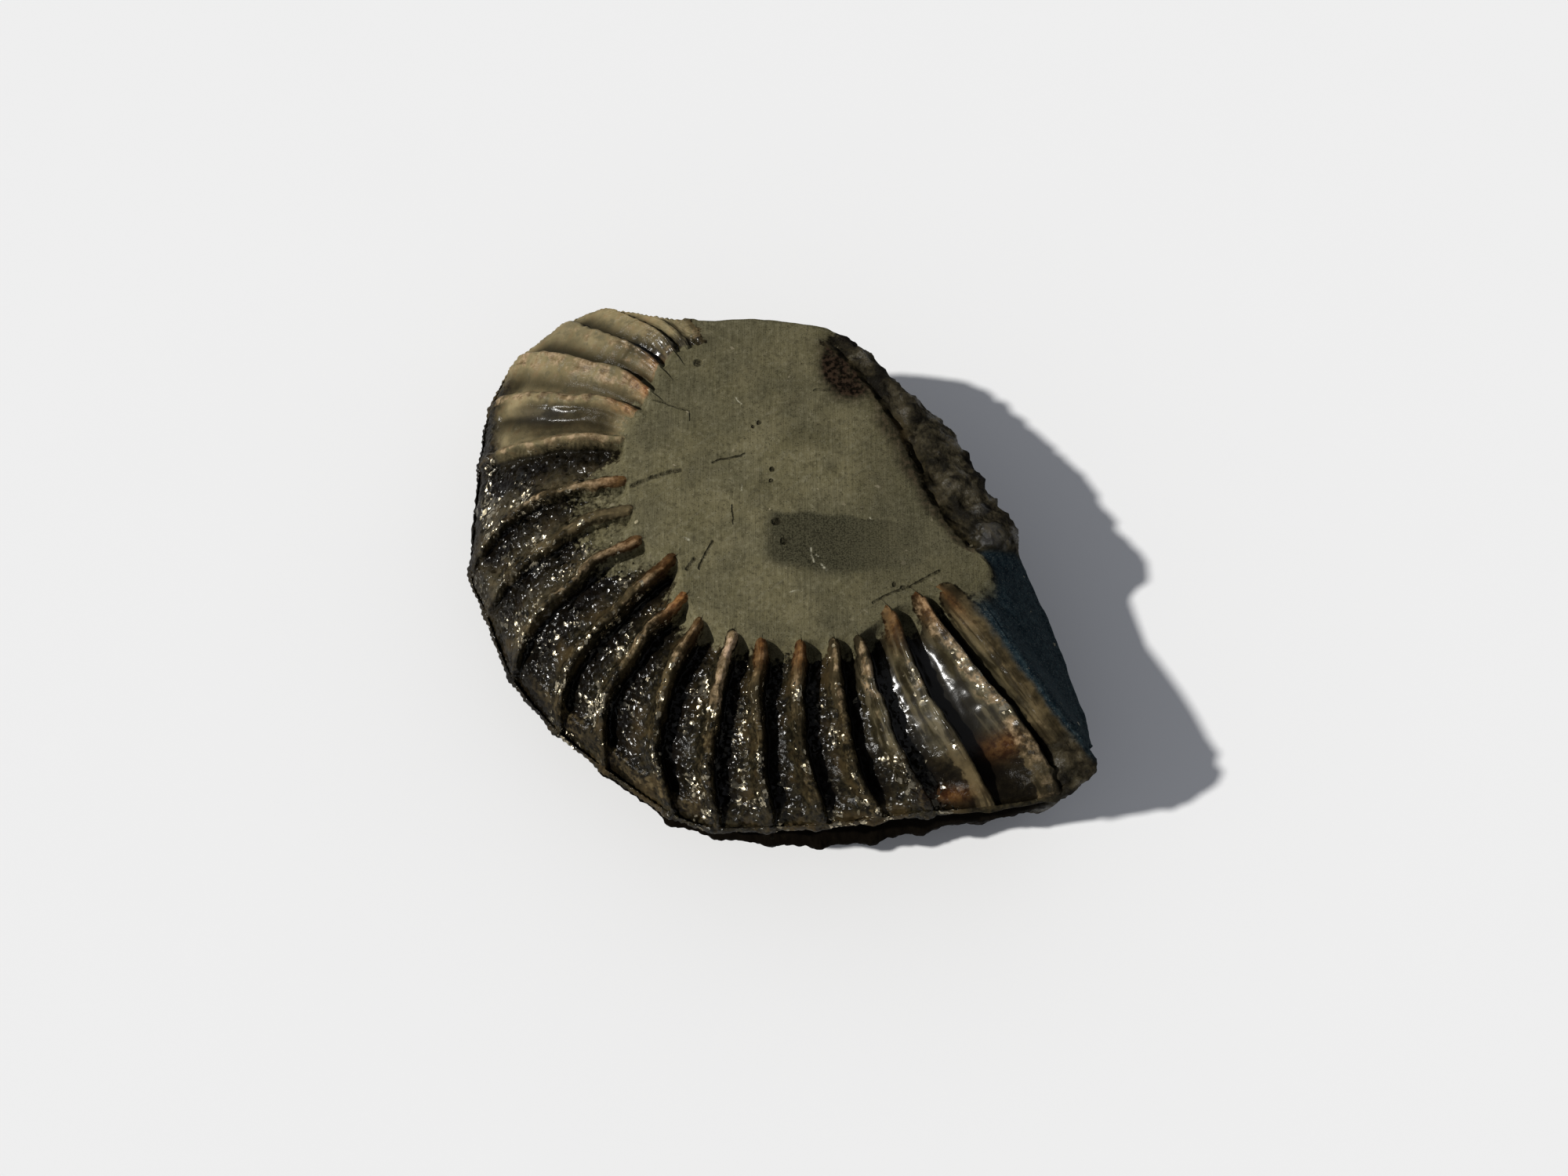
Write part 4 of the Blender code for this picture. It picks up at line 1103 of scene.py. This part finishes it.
def face_marks(n):
    """The marks of the ground face: dark cracks and pits, pale flecks, and the dents."""
    shake = n.add("ShaderNodeTexNoise", {"Vector": n.place, "Scale": 900.0, "Detail": 3.0})
    moved = n.vector("MULTIPLY_ADD", shake.outputs["Color"], (MARK_SHAKE, MARK_SHAKE, 0.0), n.place)
    moved = n.vector("SUBTRACT", moved, (0.5 * MARK_SHAKE, 0.5 * MARK_SHAKE, 0.0))
    moved = n.vector("MULTIPLY", moved, (1.0, 1.0, 0.0))
    dark = []
    for points, width, strength in CRACKS:
        parts = [n.segment(moved, *ends) for ends in zip(points[:-1], points[1:])]
        nearest = reduce(lambda a, b: n.math("MINIMUM", a, b), parts)
        dark.append(n.ramp(nearest, 0.0, 2.0 * width * MM, 0.85 * strength, 0.0))
    for spot, radius in PITS:
        away = n.segment(moved, spot, (spot[0] + 0.01, spot[1]))
        dark.append(n.ramp(away, 0.5 * radius * MM, 1.2 * radius * MM, 0.9, 0.0))
    dark = n.times(n.most(*dark), n.ramp(n.noise(1300.0, 3.0), 0.35, 0.6, 0.5, 0.95))
    pale = []
    for first, second, width in FLECKS:
        pale.append(n.ramp(n.segment(moved, first, second), 0.0, 2.0 * width * MM, 0.9, 0.0))
    pale = n.times(n.most(*pale), n.ramp(n.noise(2600.0, 3.0), 0.4, 0.6, 0.1, 1.0))
    return dark, pale, n.times(dark, -1.0)


FLOOR_DARKEST = (0.8, 0.8, 0.8)
FLOOR_LIGHTEST = (0.81, 0.81, 0.81)
FLOOR_ROUGHNESS = 0.95


def floor_material():
    n = Nodes("pale_floor")
    grey = n.mix(n.noise(30.0), FLOOR_DARKEST, FLOOR_LIGHTEST)
    n.feed(n.shader.inputs["Base Color"], grey)
    n.shader.inputs["Roughness"].default_value = FLOOR_ROUGHNESS
    n.shader.inputs["Specular IOR Level"].default_value = 0.0
    return n.material


STONE = stone_material("pyritized_stone", False)
FACE_STONE = stone_material("ground_mudstone", True)

face_middle = np.array([FACE_CENTRE[0], FACE_CENTRE[1], 0.0]) + PLAN_SHIFT
face_middle[2] = NET[0, :, 2].mean()
base_middle = np.array([BASE_CENTRE[0], BASE_CENTRE[1], 0.0]) + PLAN_SHIFT
cut_piece("mudstone_face", (0, FACE_END), 0.0, COUNT, FACE_STONE, (0, face_middle, 1.0))
early = cut_piece("whorl_early", (FACE_END, FLANK_END), 0.0, RIB.j, STONE)
cut_piece("whorl_late", (FACE_END, FLANK_END), RIB.j, CREST, STONE)
cut_piece("broken_edge", (FACE_END, FLANK_END), CREST, COUNT, STONE)
cut_piece("rim_and_lower_flank", (FLANK_END, SIDE_END), 0.0, CREST, STONE)
cut_piece("broken_side", (FLANK_END, SIDE_END), CREST, COUNT, STONE)
cut_piece("ground_underside", (SIDE_END, ROWS - 1), 0.0, COUNT, STONE,
          (ROWS - 1 - SIDE_END, base_middle, -1.0))
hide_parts("ammonite")


# Camera, light and floor

CAMERA_HEIGHT = 184.0
CAMERA_PLACE = (2.19, -73.19, CAMERA_HEIGHT)
CAMERA_TILT = 22.0
LENS = 32.4
SENSOR_WIDTH = 36.0
LIGHT_TRAVEL = (1.05, 0.18, -1.0)
LIGHT_ANGLE = 2.5
LIGHT_STRENGTH = 3.79
LIGHT_COLOUR = (1.0, 0.988, 0.958)
# The floor's width, in metres
FLOOR_SIZE = 6.0
# The sky is darker overhead than near the horizon
SKY = (0.245, 0.255, 0.28, 1.0)
SKY_LOW = 1.86
SKY_HIGH = 0.57


def camera():
    data = bpy.data.cameras.new("camera")
    data.lens = LENS
    data.sensor_width = SENSOR_WIDTH
    data.clip_start = 0.01
    data.clip_end = 10.0
    item = bpy.data.objects.new("camera", data)
    item.location = [value * MM for value in CAMERA_PLACE]
    item.rotation_euler = (math.radians(CAMERA_TILT), 0.0, 0.0)
    bpy.context.scene.collection.objects.link(item)
    bpy.context.scene.camera = item


def key_light():
    data = bpy.data.lights.new("key", "SUN")
    data.energy = LIGHT_STRENGTH
    data.color = LIGHT_COLOUR
    data.angle = math.radians(LIGHT_ANGLE)
    item = bpy.data.objects.new("key", data)
    item.rotation_euler = Vector(LIGHT_TRAVEL).to_track_quat("-Z", "Y").to_euler()
    bpy.context.scene.collection.objects.link(item)


def sky():
    world = bpy.data.worlds.new("studio")
    world.use_nodes = True
    tree = world.node_tree
    place = tree.nodes.new("ShaderNodeTexCoord")
    split = tree.nodes.new("ShaderNodeSeparateXYZ")
    tree.links.new(place.outputs["Generated"], split.inputs["Vector"])
    fade = tree.nodes.new("ShaderNodeMapRange")
    tree.links.new(split.outputs["Z"], fade.inputs["Value"])
    fade.inputs["To Min"].default_value = SKY_LOW
    fade.inputs["To Max"].default_value = SKY_HIGH
    tree.nodes["Background"].inputs["Color"].default_value = SKY
    tree.links.new(fade.outputs["Result"], tree.nodes["Background"].inputs["Strength"])
    bpy.context.scene.world = world


def floor():
    bpy.ops.mesh.primitive_plane_add(size=FLOOR_SIZE, location=(0.0, 0.0, 0.0))
    item = bpy.context.object
    item.name = "floor"
    item.data.materials.append(floor_material())


camera()
key_light()
sky()
floor()
bpy.context.scene.view_settings.view_transform = "Standard"
